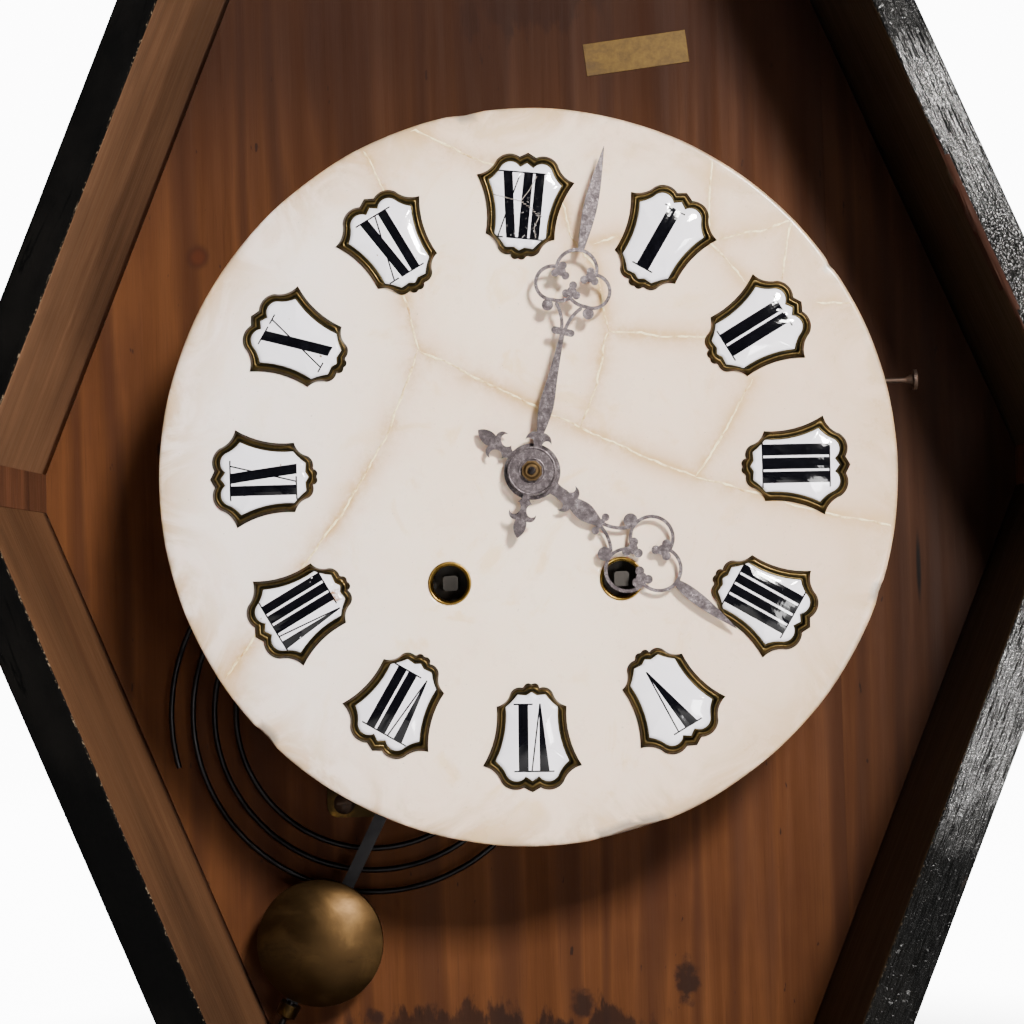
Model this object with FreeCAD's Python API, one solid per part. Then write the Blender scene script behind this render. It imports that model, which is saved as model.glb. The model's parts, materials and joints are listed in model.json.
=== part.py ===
"""Wall clock with an open lozenge case, an alabaster dial, a striking movement, a gong and a pendulum.

Millimetres. X to the right seen from the front, Y into the wall, Z up.
The origin is where the hands' axis meets the rear face of the back boards.
"""
import FreeCAD, Part
import math
import os

from FreeCAD import Vector

os.makedirs("parts", exist_ok=True)

# ---------------------------------------------------------------- driving dimensions

# case: a six-sided box, wider at its middle corners than at its top and bottom
CASE_CENTRE = (-4.5, -2.0)      # the movement was fitted this far off the case's own centre
HALF_WIDTH = 240.0
HALF_HEIGHT = 303.0
WALL_LEAN = math.radians(22.5)  # the side walls from the vertical
UPPER_WALL = 16.0
LOWER_WALL = 19.0
BOARD = 10.0
FRONT = -120.0                  # y of the walls' front edges
SEAMS = (-138.0, 132.5)         # x of the joints between the three back boards
GLUE_BLOCK_FACE = 18.0
GLUE_BLOCK_FRONT = -111.0

# dial
DIAL_CENTRE = (-2.5, -1.0)
DIAL_R = 150.0
DIAL_FRONT = -106.0
DIAL_BACK = -98.0
RING_R = 138.0
RING_HOLE_R = 70.0
NUMERAL_RING_R = 108.0
NUMERAL_CENTRE = (-1.5, 0.7)
PLAQUE_TURNS = (0.4, 1.3, -0.1, 0.6, 0.8, 0.15, 0.9, 0.8, 0.25, 0.05, 0.8, 0.4)  # degrees past each hour
LOOSE_TILT = 6.7                # the plaque at twelve has slipped round by this
BEZEL_HEIGHT = 2.6
PLAQUE_HEIGHT = 2.9
KEY = (34.8, -44.0)             # a winding square, mirrored for the strike side
KEY_TIP = -101.0

# movement plates
FRONT_PLATE = (-86.0, -84.0)
REAR_PLATE = (-46.0, -44.0)
PLATE_HALF = 64.0
PLATE_TOP = 48.0
PLATE_BOTTOM = -82.0
PILLARS = [(58.0, 42.0), (-58.0, 42.0), (58.0, -76.0), (-58.0, -76.0)]
PILLAR_R = 4.0
SCREW_HEAD_R = 3.2
EAR_OUT = 82.0
BLOCK = (66.0, 82.0, 10.0, 50.0)  # the wooden carriers: x from and to, z from and to

# hands
MINUTE_ANGLE = 14.1             # clockwise from twelve
HOUR_ANGLE = 129.2
MINUTE_PLANE = (-115.6, -114.6)
HOUR_PLANE = (-111.2, -110.2)

# arbors of the wheel trains, as (x, z)
CENTRE = (0.0, 0.0)
PIVOT = (0.0, -4.0)             # the pendulum's, the crutch's and the anchor's axis
ESCAPE = (0.0, -22.0)
MOTION_STUD = (-13.0, 7.483)
HAMMER = (-56.0, 24.0)
RUN = 0.06                      # radial clearance of every running fit

# gong and pendulum
GONG = (-78.5, -99.6)
GONG_PLANE = -19.5
GONG_R = 87.0
GONG_PITCH = 9.58
GONG_WIRE_R = 1.25
SWING = 27.2                    # degrees that the pendulum lies to the left of plumb
BOB_DROP = 219.0
BOB_R = 27.6
BOB_HALF = 8.0
ROD_PLANE = -32.0


# ---------------------------------------------------------------- shared shapes

def save(shape, name):
    shape.exportStep("parts/" + name + ".step")


def fused(shapes):
    first = shapes[0]
    if len(shapes) == 1:
        return first
    return first.multiFuse(shapes[1:]).removeSplitter()


def box(x, y, z):
    """A block from three (low, high) pairs."""
    return Part.makeBox(x[1] - x[0], y[1] - y[0], z[1] - z[0], Vector(x[0], y[0], z[0]))


def disc(at, r, y):
    """A round bar along Y at (x, z), from y[0] to y[1]."""
    return Part.makeCylinder(r, y[1] - y[0], Vector(at[0], y[0], at[1]), Vector(0, 1, 0))


def tube(at, r_out, r_in, y):
    return disc(at, r_out, y).cut(disc(at, r_in, (y[0] - 1, y[1] + 1)))


def cone(at, r_front, r_back, y):
    return Part.makeCone(r_front, r_back, y[1] - y[0], Vector(at[0], y[0], at[1]), Vector(0, 1, 0))


def extruded(edges, y):
    """A solid from a closed outline of edges drawn at y = 0."""
    face = Part.Face(Part.Wire(edges))
    solid = face.extrude(Vector(0, y[1] - y[0], 0))
    solid.translate(Vector(0, y[0], 0))
    return solid


def lines(points):
    """Straight edges round a closed list of (x, z) points."""
    corners = [Vector(x, 0, z) for x, z in points]
    ends = corners[1:] + corners[:1]
    return [Part.makeLine(a, b) for a, b in zip(corners, ends)]


def prism(points, y):
    return extruded(lines(points), y)


def path(start, steps):
    """Edges from start: a step of one point is a line, a step of two is an arc through the first."""
    edges = []
    here = start
    for step in steps:
        a = Vector(here[0], 0, here[1])
        b = Vector(step[-1][0], 0, step[-1][1])
        if len(step) == 2:
            through = Vector(step[0][0], 0, step[0][1])
            edges.append(Part.Arc(a, through, b).toShape())
        else:
            edges.append(Part.makeLine(a, b))
        here = step[-1]
    return edges


def mirrored(start, steps):
    """The outline whose right half is the path from start, which begins and ends at x = 0."""
    points = [start]
    back = []
    for step in steps:
        points.append(step[-1])
    for n in range(len(steps) - 1, -1, -1):
        target = (-points[n][0], points[n][1])
        through = [(-steps[n][0][0], steps[n][0][1])] if len(steps[n]) == 2 else []
        back.append(tuple(through + [target]))
    return path(start, list(steps) + back)


def polar(centre, r, degrees):
    a = math.radians(degrees)
    return (centre[0] + r * math.cos(a), centre[1] + r * math.sin(a))


def turned(shape, at, degrees):
    """A copy turned clockwise, as seen from the front, about a Y axis at (x, z)."""
    copy = shape.copy()
    copy.rotate(Vector(at[0], 0, at[1]), Vector(0, 1, 0), degrees)
    return copy


def moved(shape, x, z):
    copy = shape.copy()
    copy.translate(Vector(x, 0, z))
    return copy


def gear_points(at, teeth, module, depth=1.15, rise=0.8, root=0.42, tip=0.2, phase=0.0):
    """Straight-flanked clock teeth; root and tip are the tooth's share of the pitch there."""
    r = teeth * module / 2
    points = []
    for n in range(teeth):
        for share, radius in ((-root, r - depth * module), (-tip, r + rise * module),
                              (tip, r + rise * module), (root, r - depth * module)):
            angle = phase + 360.0 / teeth * (n + share / 2)
            points.append(polar(at, radius, angle))
    return points


def spoked(wheel, at, r_hub, r_rim, y, spokes=5, arm=2.2):
    """Cuts the windows between a wheel's arms."""
    for n in range(spokes):
        ring = tube(at, r_rim, r_hub, (y[0] - 0.5, y[1] + 0.5))
        half = math.degrees(arm / 2 / ((r_hub + r_rim) / 2))
        start = 360.0 / spokes * n + half
        end = 360.0 / spokes * (n + 1) - half
        reach = 2 * r_rim
        middle = (start + end) / 2
        wedge = [polar(at, r_hub * 0.4, middle), polar(at, reach, start),
                 polar(at, reach, middle), polar(at, reach, end)]
        wheel = wheel.cut(ring.common(prism(wedge, (y[0] - 0.5, y[1] + 0.5))))
    return wheel


# ---------------------------------------------------------------- case

def meeting_corner(before, after):
    """Where two wall faces meet: each side is (unit normal, distance from the centre)."""
    (ax, az), a = before
    (bx, bz), b = after
    det = ax * bz - az * bx
    return ((a * bz - b * az) / det, (ax * b - bx * a) / det)


def case_sides():
    """The six walls in order, clockwise from the upper right: name, outward normal, distance, thickness."""
    reach = HALF_WIDTH * math.cos(WALL_LEAN)
    side = math.cos(WALL_LEAN)
    rise = math.sin(WALL_LEAN)
    return [("wall_upper_right", (side, rise), reach, UPPER_WALL),
            ("wall_lower_right", (side, -rise), reach, LOWER_WALL),
            ("wall_bottom", (0.0, -1.0), HALF_HEIGHT, LOWER_WALL),
            ("wall_lower_left", (-side, -rise), reach, LOWER_WALL),
            ("wall_upper_left", (-side, rise), reach, UPPER_WALL),
            ("wall_top", (0.0, 1.0), HALF_HEIGHT, UPPER_WALL)]


def case_corners(inner):
    """Corner n lies between side n and side n + 1."""
    sides = case_sides()
    corners = []
    for side, after in zip(sides, sides[1:] + sides[:1]):
        faces = [(normal, reach - thick if inner else reach) for _, normal, reach, thick in (side, after)]
        corners.append(meeting_corner(*faces))
    return [(x + CASE_CENTRE[0], z + CASE_CENTRE[1]) for x, z in corners]


def case_walls():
    outer = case_corners(False)
    inner = case_corners(True)
    for n, side in enumerate(case_sides()):
        outline = [outer[n - 1], outer[n], inner[n], inner[n - 1]]
        save(prism(outline, (FRONT, -BOARD)), side[0])


def glue_blocks():
    """A triangular block in each inner corner, wide enough for its face."""
    inner = case_corners(True)
    blocks = []
    for n, corner in enumerate(inner):
        ends = []
        for other in (inner[n - 1], inner[(n + 1) % len(inner)]):
            length = math.dist(corner, other)
            ends.append(((other[0] - corner[0]) / length, (other[1] - corner[1]) / length))
        between = math.acos(ends[0][0] * ends[1][0] + ends[0][1] * ends[1][1])
        leg = GLUE_BLOCK_FACE / 2 / math.sin(between / 2)
        outline = [corner] + [(corner[0] + leg * x, corner[1] + leg * z) for x, z in ends]
        blocks.append(prism(outline, (GLUE_BLOCK_FRONT, -BOARD)))
    return Part.makeCompound(blocks)


HANGER_HOLE = (CASE_CENTRE[0], 314.0)
HANGER_HALF = 15.0
HANGER_FOOT = 246.0
HANGER_THICK = 2.5
HANGER_SCREWS = [(CASE_CENTRE[0] - 8, 256.0), (CASE_CENTRE[0] + 8, 256.0), (CASE_CENTRE[0], 286.0)]
HANGER_SCREW_R = 1.5


def hanger_outline(room):
    x, top = HANGER_HOLE
    half = HANGER_HALF + room
    foot = HANGER_FOOT - room
    return path((x - half, foot), [((x + half, foot),), ((x + half, top),),
                                   ((x, top + half), (x - half, top)), ((x - half, foot),)])


def hanger_plate():
    plate = extruded(hanger_outline(0.0), (-HANGER_THICK, 0))
    plate = plate.cut(disc(HANGER_HOLE, 5.0, (-HANGER_THICK - 1, 1)))
    for at in HANGER_SCREWS:
        plate = plate.cut(disc(at, 1.8, (-HANGER_THICK - 1, 1)))
    return plate


def back_boards():
    outer = case_corners(False)
    whole = prism(outer, (-BOARD, 0))
    reach = 2 * HALF_HEIGHT
    edges = (-reach, SEAMS[0], SEAMS[1], reach)
    for n, name in enumerate(("left", "middle", "right")):
        board = whole.common(box((edges[n], edges[n + 1]), (-BOARD, 0), (-reach, reach)))
        if name == "middle":
            pocket = extruded(hanger_outline(0.2), (-HANGER_THICK, 1))
            board = board.cut(pocket)
            for at in HANGER_SCREWS:
                board = board.cut(disc(at, 1.6, (-BOARD - 1, 1)))
        for nail in board_nails():
            board = board.cut(nail)
        save(board, "back_board_" + name)


def board_nails():
    """Nail heads round the back, one row following the walls."""
    outer = case_corners(False)
    nails = []
    for n in range(len(outer)):
        a, b = outer[n - 1], outer[n]
        count = max(2, round(math.dist(a, b) / 78))
        for k in range(count):
            t = (k + 0.5) / count
            x = a[0] + (b[0] - a[0]) * t
            z = a[1] + (b[1] - a[1]) * t
            inward = 1 - 9.0 / math.hypot(x, z)
            at = (x * inward, z * inward)
            if math.dist(at, (HANGER_HOLE[0], HALF_HEIGHT)) > 2 * HANGER_HALF:
                nails.append(disc(at, 2.4, (-0.6, 0)))
    return nails


def case():
    case_walls()
    save(glue_blocks(), "corner_blocks")
    save(hanger_plate(), "hanger_plate")
    back_boards()
    label = turned(box((-23.2, 23.2), (-BOARD - 0.4, -BOARD), (-7.3, 7.3)), (0, 0), -6.3)
    save(moved(label, 49.8, 193.0), "label")


# ---------------------------------------------------------------- dial

BEZEL_STEPS = [((3.3, 19.8),),
               ((7.5, 20.7), (12.6, 17.6)),
               ((15.6, 13.2), (20.0, 11.0)),
               ((15.2, 0.0), (14.1, -12.9)),
               ((10.4, -14.9), (8.6, -18.1)),
               ((6.4, -20.2), (3.2, -20.2)),
               ((2.6, -21.6), (0.0, -21.6))]
BEZEL_TIP = (0.0, 21.7)
PLAQUE_STEPS = [((2.7, 15.3),),
                ((6.4, 17.3), (10.4, 15.0)),
                ((11.9, 12.2), (14.8, 9.1)),
                ((11.5, 0.0), (10.5, -12.6)),
                ((7.4, -15.4), (5.6, -17.6)),
                ((2.1, -17.3),),
                ((0.0, -18.6),)]
PLAQUE_TIP = (0.0, 17.2)


def numerals():
    bezels = []
    plaques = []
    rim = extruded(mirrored(BEZEL_TIP, BEZEL_STEPS), (DIAL_FRONT - BEZEL_HEIGHT, DIAL_FRONT))
    window = extruded(mirrored(PLAQUE_TIP, PLAQUE_STEPS), (DIAL_FRONT - PLAQUE_HEIGHT, DIAL_FRONT))
    bezel = rim.cut(window)
    at = (NUMERAL_CENTRE[0], NUMERAL_CENTRE[1] + NUMERAL_RING_R)
    for hour, error in enumerate(PLAQUE_TURNS):
        tilt = LOOSE_TILT if hour == 0 else 0.0
        for group, shape in ((bezels, bezel), (plaques, window)):
            upright = turned(moved(shape, *at), at, tilt)
            group.append(turned(upright, NUMERAL_CENTRE, 30 * hour + error))
    save(Part.makeCompound(bezels), "numeral_bezels")
    save(Part.makeCompound(plaques), "numeral_plaques")


FERRULE_R = 7.6
FERRULE_WALL = 0.6
FERRULE_FLANGE = 8.8


def dial():
    face = disc(DIAL_CENTRE, DIAL_R, (DIAL_FRONT, DIAL_BACK))
    face = face.cut(disc(CENTRE, 7.0, (DIAL_FRONT - 1, DIAL_BACK + 1)))
    ferrules = []
    for side in (-1, 1):
        at = (side * KEY[0], KEY[1])
        face = face.cut(disc(at, FERRULE_R + FERRULE_WALL, (DIAL_FRONT - 1, DIAL_BACK + 1)))
        pipe = tube(at, FERRULE_R + FERRULE_WALL, FERRULE_R, (DIAL_FRONT, DIAL_BACK))
        flange = tube(at, FERRULE_FLANGE, FERRULE_R, (DIAL_FRONT - 0.8, DIAL_FRONT))
        ferrules.append(fused([pipe, flange]))
    save(face, "dial")
    save(Part.makeCompound(ferrules), "winding_ferrules")
    ring = tube(DIAL_CENTRE, RING_R, RING_HOLE_R, (DIAL_BACK, FRONT_PLATE[0]))
    pin = dial_pin()
    for at in PILLARS:
        ring = ring.cut(disc(at, SCREW_HEAD_R + 0.6, (FRONT_PLATE[0] - 2.0, FRONT_PLATE[0])))
    save(ring.cut(pin), "dial_backing")
    save(pin, "dial_pin")


def dial_pin():
    """A steel pin driven in from the right, with a flared neck under its flat head."""
    y, z, root, head = -92.0, 34.0, 118.0, 156.5
    along = Vector(1, 0, 0)
    shank = Part.makeCylinder(1.1, head - root, Vector(root, y, z), along)
    neck = Part.makeCone(1.1, 2.6, 3.2, Vector(head - 3.2, y, z), along)
    cap = Part.makeCylinder(4.2, 1.5, Vector(head, y, z), along)
    return fused([shank, neck, cap])


# ---------------------------------------------------------------- hands

def bar(points, y):
    """A flat blade, pointing up, smooth through (height, half width) points on both sides."""
    right = [Vector(w, 0, t) for t, w in points]
    left = [Vector(-w, 0, t) for t, w in reversed(points)]
    sides = []
    for run in (right, left):
        curve = Part.BSplineCurve()
        curve.interpolate(run)
        sides.append(curve.toShape())
    edges = [sides[0]]
    if (right[-1] - left[0]).Length > 0.01:
        edges.append(Part.makeLine(right[-1], left[0]))
    edges.append(sides[1])
    if (left[-1] - right[0]).Length > 0.01:
        edges.append(Part.makeLine(left[-1], right[0]))
    return extruded(edges, y)


def strut(a, b, width, y):
    """A straight bar between two (x, z) points, with round ends."""
    length = math.dist(a, b)
    nx = (b[1] - a[1]) / length * width / 2
    nz = (a[0] - b[0]) / length * width / 2
    flat = prism([(a[0] + nx, a[1] + nz), (b[0] + nx, b[1] + nz),
                  (b[0] - nx, b[1] - nz), (a[0] - nx, a[1] - nz)], y)
    return [flat, disc(a, width / 2, y), disc(b, width / 2, y)]


def bow(a, through, b, width, y):
    """A bar of even width curved through three (x, z) points, with round ends."""
    course = [Vector(x, 0, z) for x, z in (a, through, b)]
    circle = Part.Arc(*course).toShape().Curve
    share = width / 2 / circle.Radius
    outer = [point + (point - circle.Center) * share for point in course]
    inner = [point - (point - circle.Center) * share for point in course]
    edges = [Part.Arc(*outer).toShape(), Part.makeLine(outer[-1], inner[-1]),
             Part.Arc(*inner[::-1]).toShape(), Part.makeLine(inner[0], outer[0])]
    return [extruded(edges, y), disc(a, width / 2, y), disc(b, width / 2, y)]


def both_sides(shapes):
    return shapes + [shape.mirror(Vector(0, 0, 0), Vector(1, 0, 0)) for shape in shapes]


def trefoil(root, middle, r, y):
    """A three-lobed knob on a short stalk, its first lobe pointing away from the root."""
    away = math.degrees(math.atan2(middle[1] - root[1], middle[0] - root[0]))
    lobes = [disc(polar(middle, r * 1.55, away + 120 * n), r, y) for n in range(3)]
    return lobes + [disc(middle, r * 1.2, y)] + strut(root, middle, r, y)


# The outlines below hold (half width, distance from the hub's centre).
TAIL_ROOT = (0, 8.0)
TAIL_STEPS = [((1.8, 8.0),),
              ((1.6, 11.4), (2.9, 13.1)),
              ((1.9, 13.8), (1.3, 14.9)),
              ((1.4, 16.4), (2.3, 17.8)),
              ((4.0, 18.3), (5.4, 16.9)),
              ((4.8, 19.6), (2.3, 20.4)),
              ((2.4, 23.6), (0, 27.6))]
MINUTE_CALYX_ROOT = (0, 8.0)
MINUTE_CALYX_STEPS = [((1.9, 8.0),),
                      ((1.6, 10.4), (2.2, 12.2)),
                      ((3.4, 12.9), (5.3, 11.8)),
                      ((4.5, 14.4), (1.8, 15.9)),
                      ((0, 15.9),)]
HOUR_CALYX_ROOT = (0, 9.5)
HOUR_CALYX_STEPS = [((3.2, 9.5),),
                    ((2.4, 13.0), (2.6, 15.8)),
                    ((3.9, 18.3), (5.9, 17.2)),
                    ((5.2, 19.9), (2.8, 21.2)),
                    ((0, 21.2),)]
HOUR_TAIL_WIDER = 1.12


def tail(wider, y):
    """The leaf opposite a hand's blade, with a small crossbar and two curled petals."""
    steps = [tuple((wider * x, z) for x, z in step) for step in TAIL_STEPS]
    leaf = extruded(mirrored(TAIL_ROOT, steps), y)
    return turned(leaf, CENTRE, 180)


def minute_hand():
    y = MINUTE_PLANE
    wire = 1.4
    parts = [disc(CENTRE, 9.85, y), tail(1.0, y)]
    parts.append(extruded(mirrored(MINUTE_CALYX_ROOT, MINUTE_CALYX_STEPS), y))
    parts.append(bar([(15.4, 1.4), (21.0, 2.4), (27.0, 2.95), (34.0, 2.4), (45.0, 1.5), (57.0, 1.0)], y))
    parts += strut((-3.4, 57.4), (3.4, 57.4), 2.8, y)
    shoulder, foot = (8.2, 82.5), (0.0, 71.2)
    ring = bow((0.8, 58.5), (2.2, 63.7), (4.9, 67.8), wire, y)
    ring += [disc((8.4, 66.6), 2.3, y)]
    ring += bow(shoulder, (15.0, 74.7), (6.9, 69.1), wire, y)
    ring += bow((6.9, 69.1), (3.2, 69.5), foot, wire, y)
    ring += trefoil(shoulder, (5.9, 81.0), 1.6, y)
    parts += both_sides(ring)
    parts += bow((-shoulder[0], shoulder[1]), (0.0, 91.0), shoulder, wire, y)
    parts += trefoil(foot, (0.0, 74.0), 1.6, y)
    parts.append(bar([(90.8, 1.2), (98.0, 2.1), (108.5, 2.8), (122.0, 1.8), (134.0, 0.15)], y))
    hand = fused(parts).cut(disc(CENTRE, CANNON_R, (y[0] - 1, y[1] + 1)))
    return turned(hand, CENTRE, MINUTE_ANGLE)


def hour_hand():
    y = HOUR_PLANE
    wire = 1.4
    parts = [disc(CENTRE, 11.4, y), tail(HOUR_TAIL_WIDER, y)]
    parts.append(extruded(mirrored(HOUR_CALYX_ROOT, HOUR_CALYX_STEPS), y))
    parts.append(bar([(20.0, 2.3), (23.0, 3.2), (26.7, 3.65), (31.0, 2.6), (35.0, 1.2)], y))
    parts += strut((-3.4, 34.6), (3.4, 34.6), 1.8, y)
    shoulder, foot = (8.6, 62.9), (0.0, 51.2)
    ring = [disc((3.4, 34.6), 1.55, y), disc((8.5, 43.3), 2.85, y)]
    ring += bow((0.8, 35.5), (2.5, 40.3), (5.9, 44.4), wire, y)
    ring += bow(shoulder, (16.6, 53.3), (6.0, 45.9), wire, y)
    ring += bow((6.0, 45.9), (2.2, 48.2), foot, wire, y)
    ring += trefoil(shoulder, (7.0, 60.8), 1.8, y)
    parts += both_sides(ring)
    parts += bow((-shoulder[0], shoulder[1]), (0.0, 73.0), shoulder, wire, y)
    parts += trefoil((0.0, 50.0), (0.0, 51.0), 1.8, y)
    parts.append(bar([(72.8, 1.3), (77.0, 2.2), (83.0, 2.5), (93.0, 1.7), (103.3, 0.15)], y))
    hand = fused(parts).cut(disc(CENTRE, HOUR_PIPE_R, (y[0] - 1, y[1] + 1)))
    return turned(hand, CENTRE, HOUR_ANGLE)


CANNON_R = 2.8
HOUR_PIPE_R = 4.0
ARBOR_R = 1.5


def hand_nut():
    """An eight-sided brass collet on the end of the centre arbor."""
    flats = 7.9
    corner = flats / 2 / math.cos(math.radians(22.5))
    points = [polar(CENTRE, corner, 22.5 + 45 * n) for n in range(8)]
    body = prism(points, (-117.8, MINUTE_PLANE[0]))
    body = fused([body, cone(CENTRE, 2.5, 3.4, (-118.6, -117.8))])
    return body.cut(disc(CENTRE, ARBOR_R, (-125, -110)))


def hands():
    save(minute_hand(), "minute_hand")
    save(hour_hand(), "hour_hand")
    save(hand_nut(), "hand_nut")


# ---------------------------------------------------------------- movement

def meeting(a, from_a, b, from_b, side):
    """The point at the given distances from a and b, on the left (+1) or right (-1) going a to b."""
    d = math.dist(a, b)
    along = (from_a ** 2 - from_b ** 2 + d ** 2) / (2 * d)
    off = math.sqrt(from_a ** 2 - along ** 2) * side
    ux, uz = (b[0] - a[0]) / d, (b[1] - a[1]) / d
    return (a[0] + along * ux - off * uz, a[1] + along * uz + off * ux)


GREAT = (84, 0.75)              # teeth and module of a great wheel and its pinion's mate
BARREL_PINION = (12, 0.75)
SECOND = (64, 0.6)
CENTRE_PINION = (10, 0.6)
CENTRE_WHEEL = (80, 0.5)
THIRD_PINION = (8, 0.5)
THIRD = (80, 0.4)
ESCAPE_PINION = (8, 0.4)
ESCAPE_TEETH = 39
ESCAPE_R = 11.5
PIN_WHEEL = (80, 0.5)
WARNING_PINION = (8, 0.5)
WARNING = (64, 0.4)
FLY_PINION = (8, 0.4)


def spacing(wheel, pinion):
    return wheel[1] * (wheel[0] + pinion[0]) / 2


GOING_BARREL = KEY
STRIKE_BARREL = (-KEY[0], KEY[1])
SECOND_AT = meeting(CENTRE, spacing(SECOND, CENTRE_PINION), GOING_BARREL,
                    spacing(GREAT, BARREL_PINION), 1)
THIRD_AT = meeting(CENTRE, spacing(CENTRE_WHEEL, THIRD_PINION), ESCAPE,
                   spacing(THIRD, ESCAPE_PINION), -1)
PIN_AT = polar(STRIKE_BARREL, spacing(GREAT, BARREL_PINION), 100.0)
WARNING_AT = polar(PIN_AT, spacing(PIN_WHEEL, WARNING_PINION), 50.0)
FLY_AT = polar(WARNING_AT, spacing(WARNING, FLY_PINION), 60.0)

BARREL_R = 26.5
BARREL_WALL = 1.2
BARREL_Y = (-79.6, -53.6)       # the drum behind its great wheel
GREAT_Y = (-82.0, -79.6)
CAP_Y = (-55.0, -53.6)
CORE_R = 6.0
ARBOR_FRONT_R = 4.5
ARBOR_REAR_R = 3.0


def in_mesh(driver, driver_teeth, pinion, pinion_teeth, phase=0.0):
    """The pinion's phase that puts one of its spaces on a tooth of the driver at that phase."""
    way = math.degrees(math.atan2(pinion[1] - driver[1], pinion[0] - driver[0]))
    past = (way - phase) * driver_teeth / 360.0
    share = past - math.floor(past)
    return way + 180.0 + (share + 0.5) * 360.0 / pinion_teeth


def wheel(at, kind, y, phase=0.0, hub=4.0, rim=None):
    """A brass wheel with arms."""
    teeth, module = kind
    body = prism(gear_points(at, teeth, module, phase=phase), y)
    inside = teeth * module / 2 - 1.15 * module
    return spoked(body, at, hub, rim or inside - 1.8, y)


def pinion(at, kind, y, phase):
    """A steel pinion: slim leaves with low rounded ends."""
    teeth, module = kind
    return prism(gear_points(at, teeth, module, 1.2, 0.55, 0.46, 0.2, phase), y)


def arbor(at, y, r=1.0, pivot=0.6):
    """A steel arbor with a turned-down pivot in each plate."""
    front, rear = y
    return [disc(at, r, (FRONT_PLATE[1] + 0.4, REAR_PLATE[0] - 0.4)),
            disc(at, pivot, (front, FRONT_PLATE[1] + 0.4)),
            disc(at, pivot, (REAR_PLATE[0] - 0.4, rear))]


def barrel(name, at, phase):
    body = prism(gear_points(at, *GREAT, phase=phase), GREAT_Y)
    drum = tube(at, BARREL_R, BARREL_R - BARREL_WALL, (BARREL_Y[0], CAP_Y[0]))
    body = fused([body, drum]).cut(disc(at, ARBOR_FRONT_R + RUN, (-90, -50)))
    save(body, name + "_barrel")
    cap = tube(at, BARREL_R, ARBOR_REAR_R + RUN, CAP_Y)
    save(cap, name + "_barrel_cap")


def mainspring(name, at):
    """A flat spring coiled inside the drum, as half turns about two centres."""
    turns = 7
    inner_r = CORE_R + 0.8
    outer_r = BARREL_R - BARREL_WALL - 0.3
    thick = 0.9
    step = (outer_r - thick - inner_r) / (2 * turns)
    shift = step / 2
    edges = []
    for r_start in (inner_r, inner_r + thick):
        r = r_start
        run = []
        for n in range(2 * turns):
            side = 1 if n % 2 == 0 else -1
            centre = (at[0] + side * shift, at[1])
            start = (centre[0] - side * r, centre[1])
            end = (centre[0] + side * r, centre[1])
            through = (centre[0], centre[1] + side * r)
            run.append(Part.Arc(*[Vector(x, 0, z) for x, z in (start, through, end)]).toShape())
            r += step
        edges.append(run)
    inner, outer = edges
    first = Part.makeLine(outer[0].Vertexes[0].Point, inner[0].Vertexes[0].Point)
    last = Part.makeLine(inner[-1].Vertexes[-1].Point, outer[-1].Vertexes[-1].Point)
    spring = extruded([first] + inner + [last] + outer[::-1], (BARREL_Y[0] + 1.0, CAP_Y[0] - 1.0))
    save(spring, name + "_mainspring")


RATCHET_TEETH = 24
RATCHET_Y = (-89.0, -87.0)
RATCHET_R = 9.0
CLICK_AT_ANGLE = 90.0


def ratchet_points(at):
    points = []
    for n in range(RATCHET_TEETH):
        angle = CLICK_AT_ANGLE + 360.0 / RATCHET_TEETH * n
        points.append(polar(at, RATCHET_R, angle))
        points.append(polar(at, RATCHET_R - 1.5, angle + 1.0))
    return points


def winding_arbor(name, at):
    """The winding square, its ratchet, and the hooked core that the spring grips."""
    half = 3.0
    square = box((at[0] - half, at[0] + half), (KEY_TIP, RATCHET_Y[0]), (at[1] - half, at[1] + half))
    tip = cone(at, 3.7, 4.3, (KEY_TIP, KEY_TIP + 0.7))
    nose = disc(at, 4.3, (KEY_TIP + 0.7, RATCHET_Y[0]))
    parts = [square.common(fused([tip, nose])),
             prism(ratchet_points(at), RATCHET_Y),
             disc(at, ARBOR_FRONT_R, (RATCHET_Y[1], BARREL_Y[0])),
             disc(at, CORE_R, (BARREL_Y[0] + 0.3, CAP_Y[0] - 0.3)),
             disc(at, ARBOR_FRONT_R, (BARREL_Y[0], BARREL_Y[0] + 0.3)),
             disc(at, ARBOR_REAR_R, (CAP_Y[0] - 0.3, REAR_PLATE[1]))]
    save(fused(parts), name + "_winding_arbor")


CLICK_SCREW = (11.5, 7.5)       # from the winding arbor


def click(name, at):
    """A pawl on a shoulder screw, its beak in a ratchet tooth."""
    pivot = (at[0] + CLICK_SCREW[0], at[1] + CLICK_SCREW[1])
    beak = polar(at, RATCHET_R + 0.35, CLICK_AT_ANGLE - 4.0)
    parts = strut(pivot, (beak[0] + 1.6, beak[1] + 1.5), 2.6, RATCHET_Y)
    parts.append(disc(pivot, 2.6, RATCHET_Y))
    parts.append(disc(pivot, 1.2, (FRONT_PLATE[0] - 1.0, FRONT_PLATE[1])))
    save(fused(parts), name + "_click")


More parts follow.
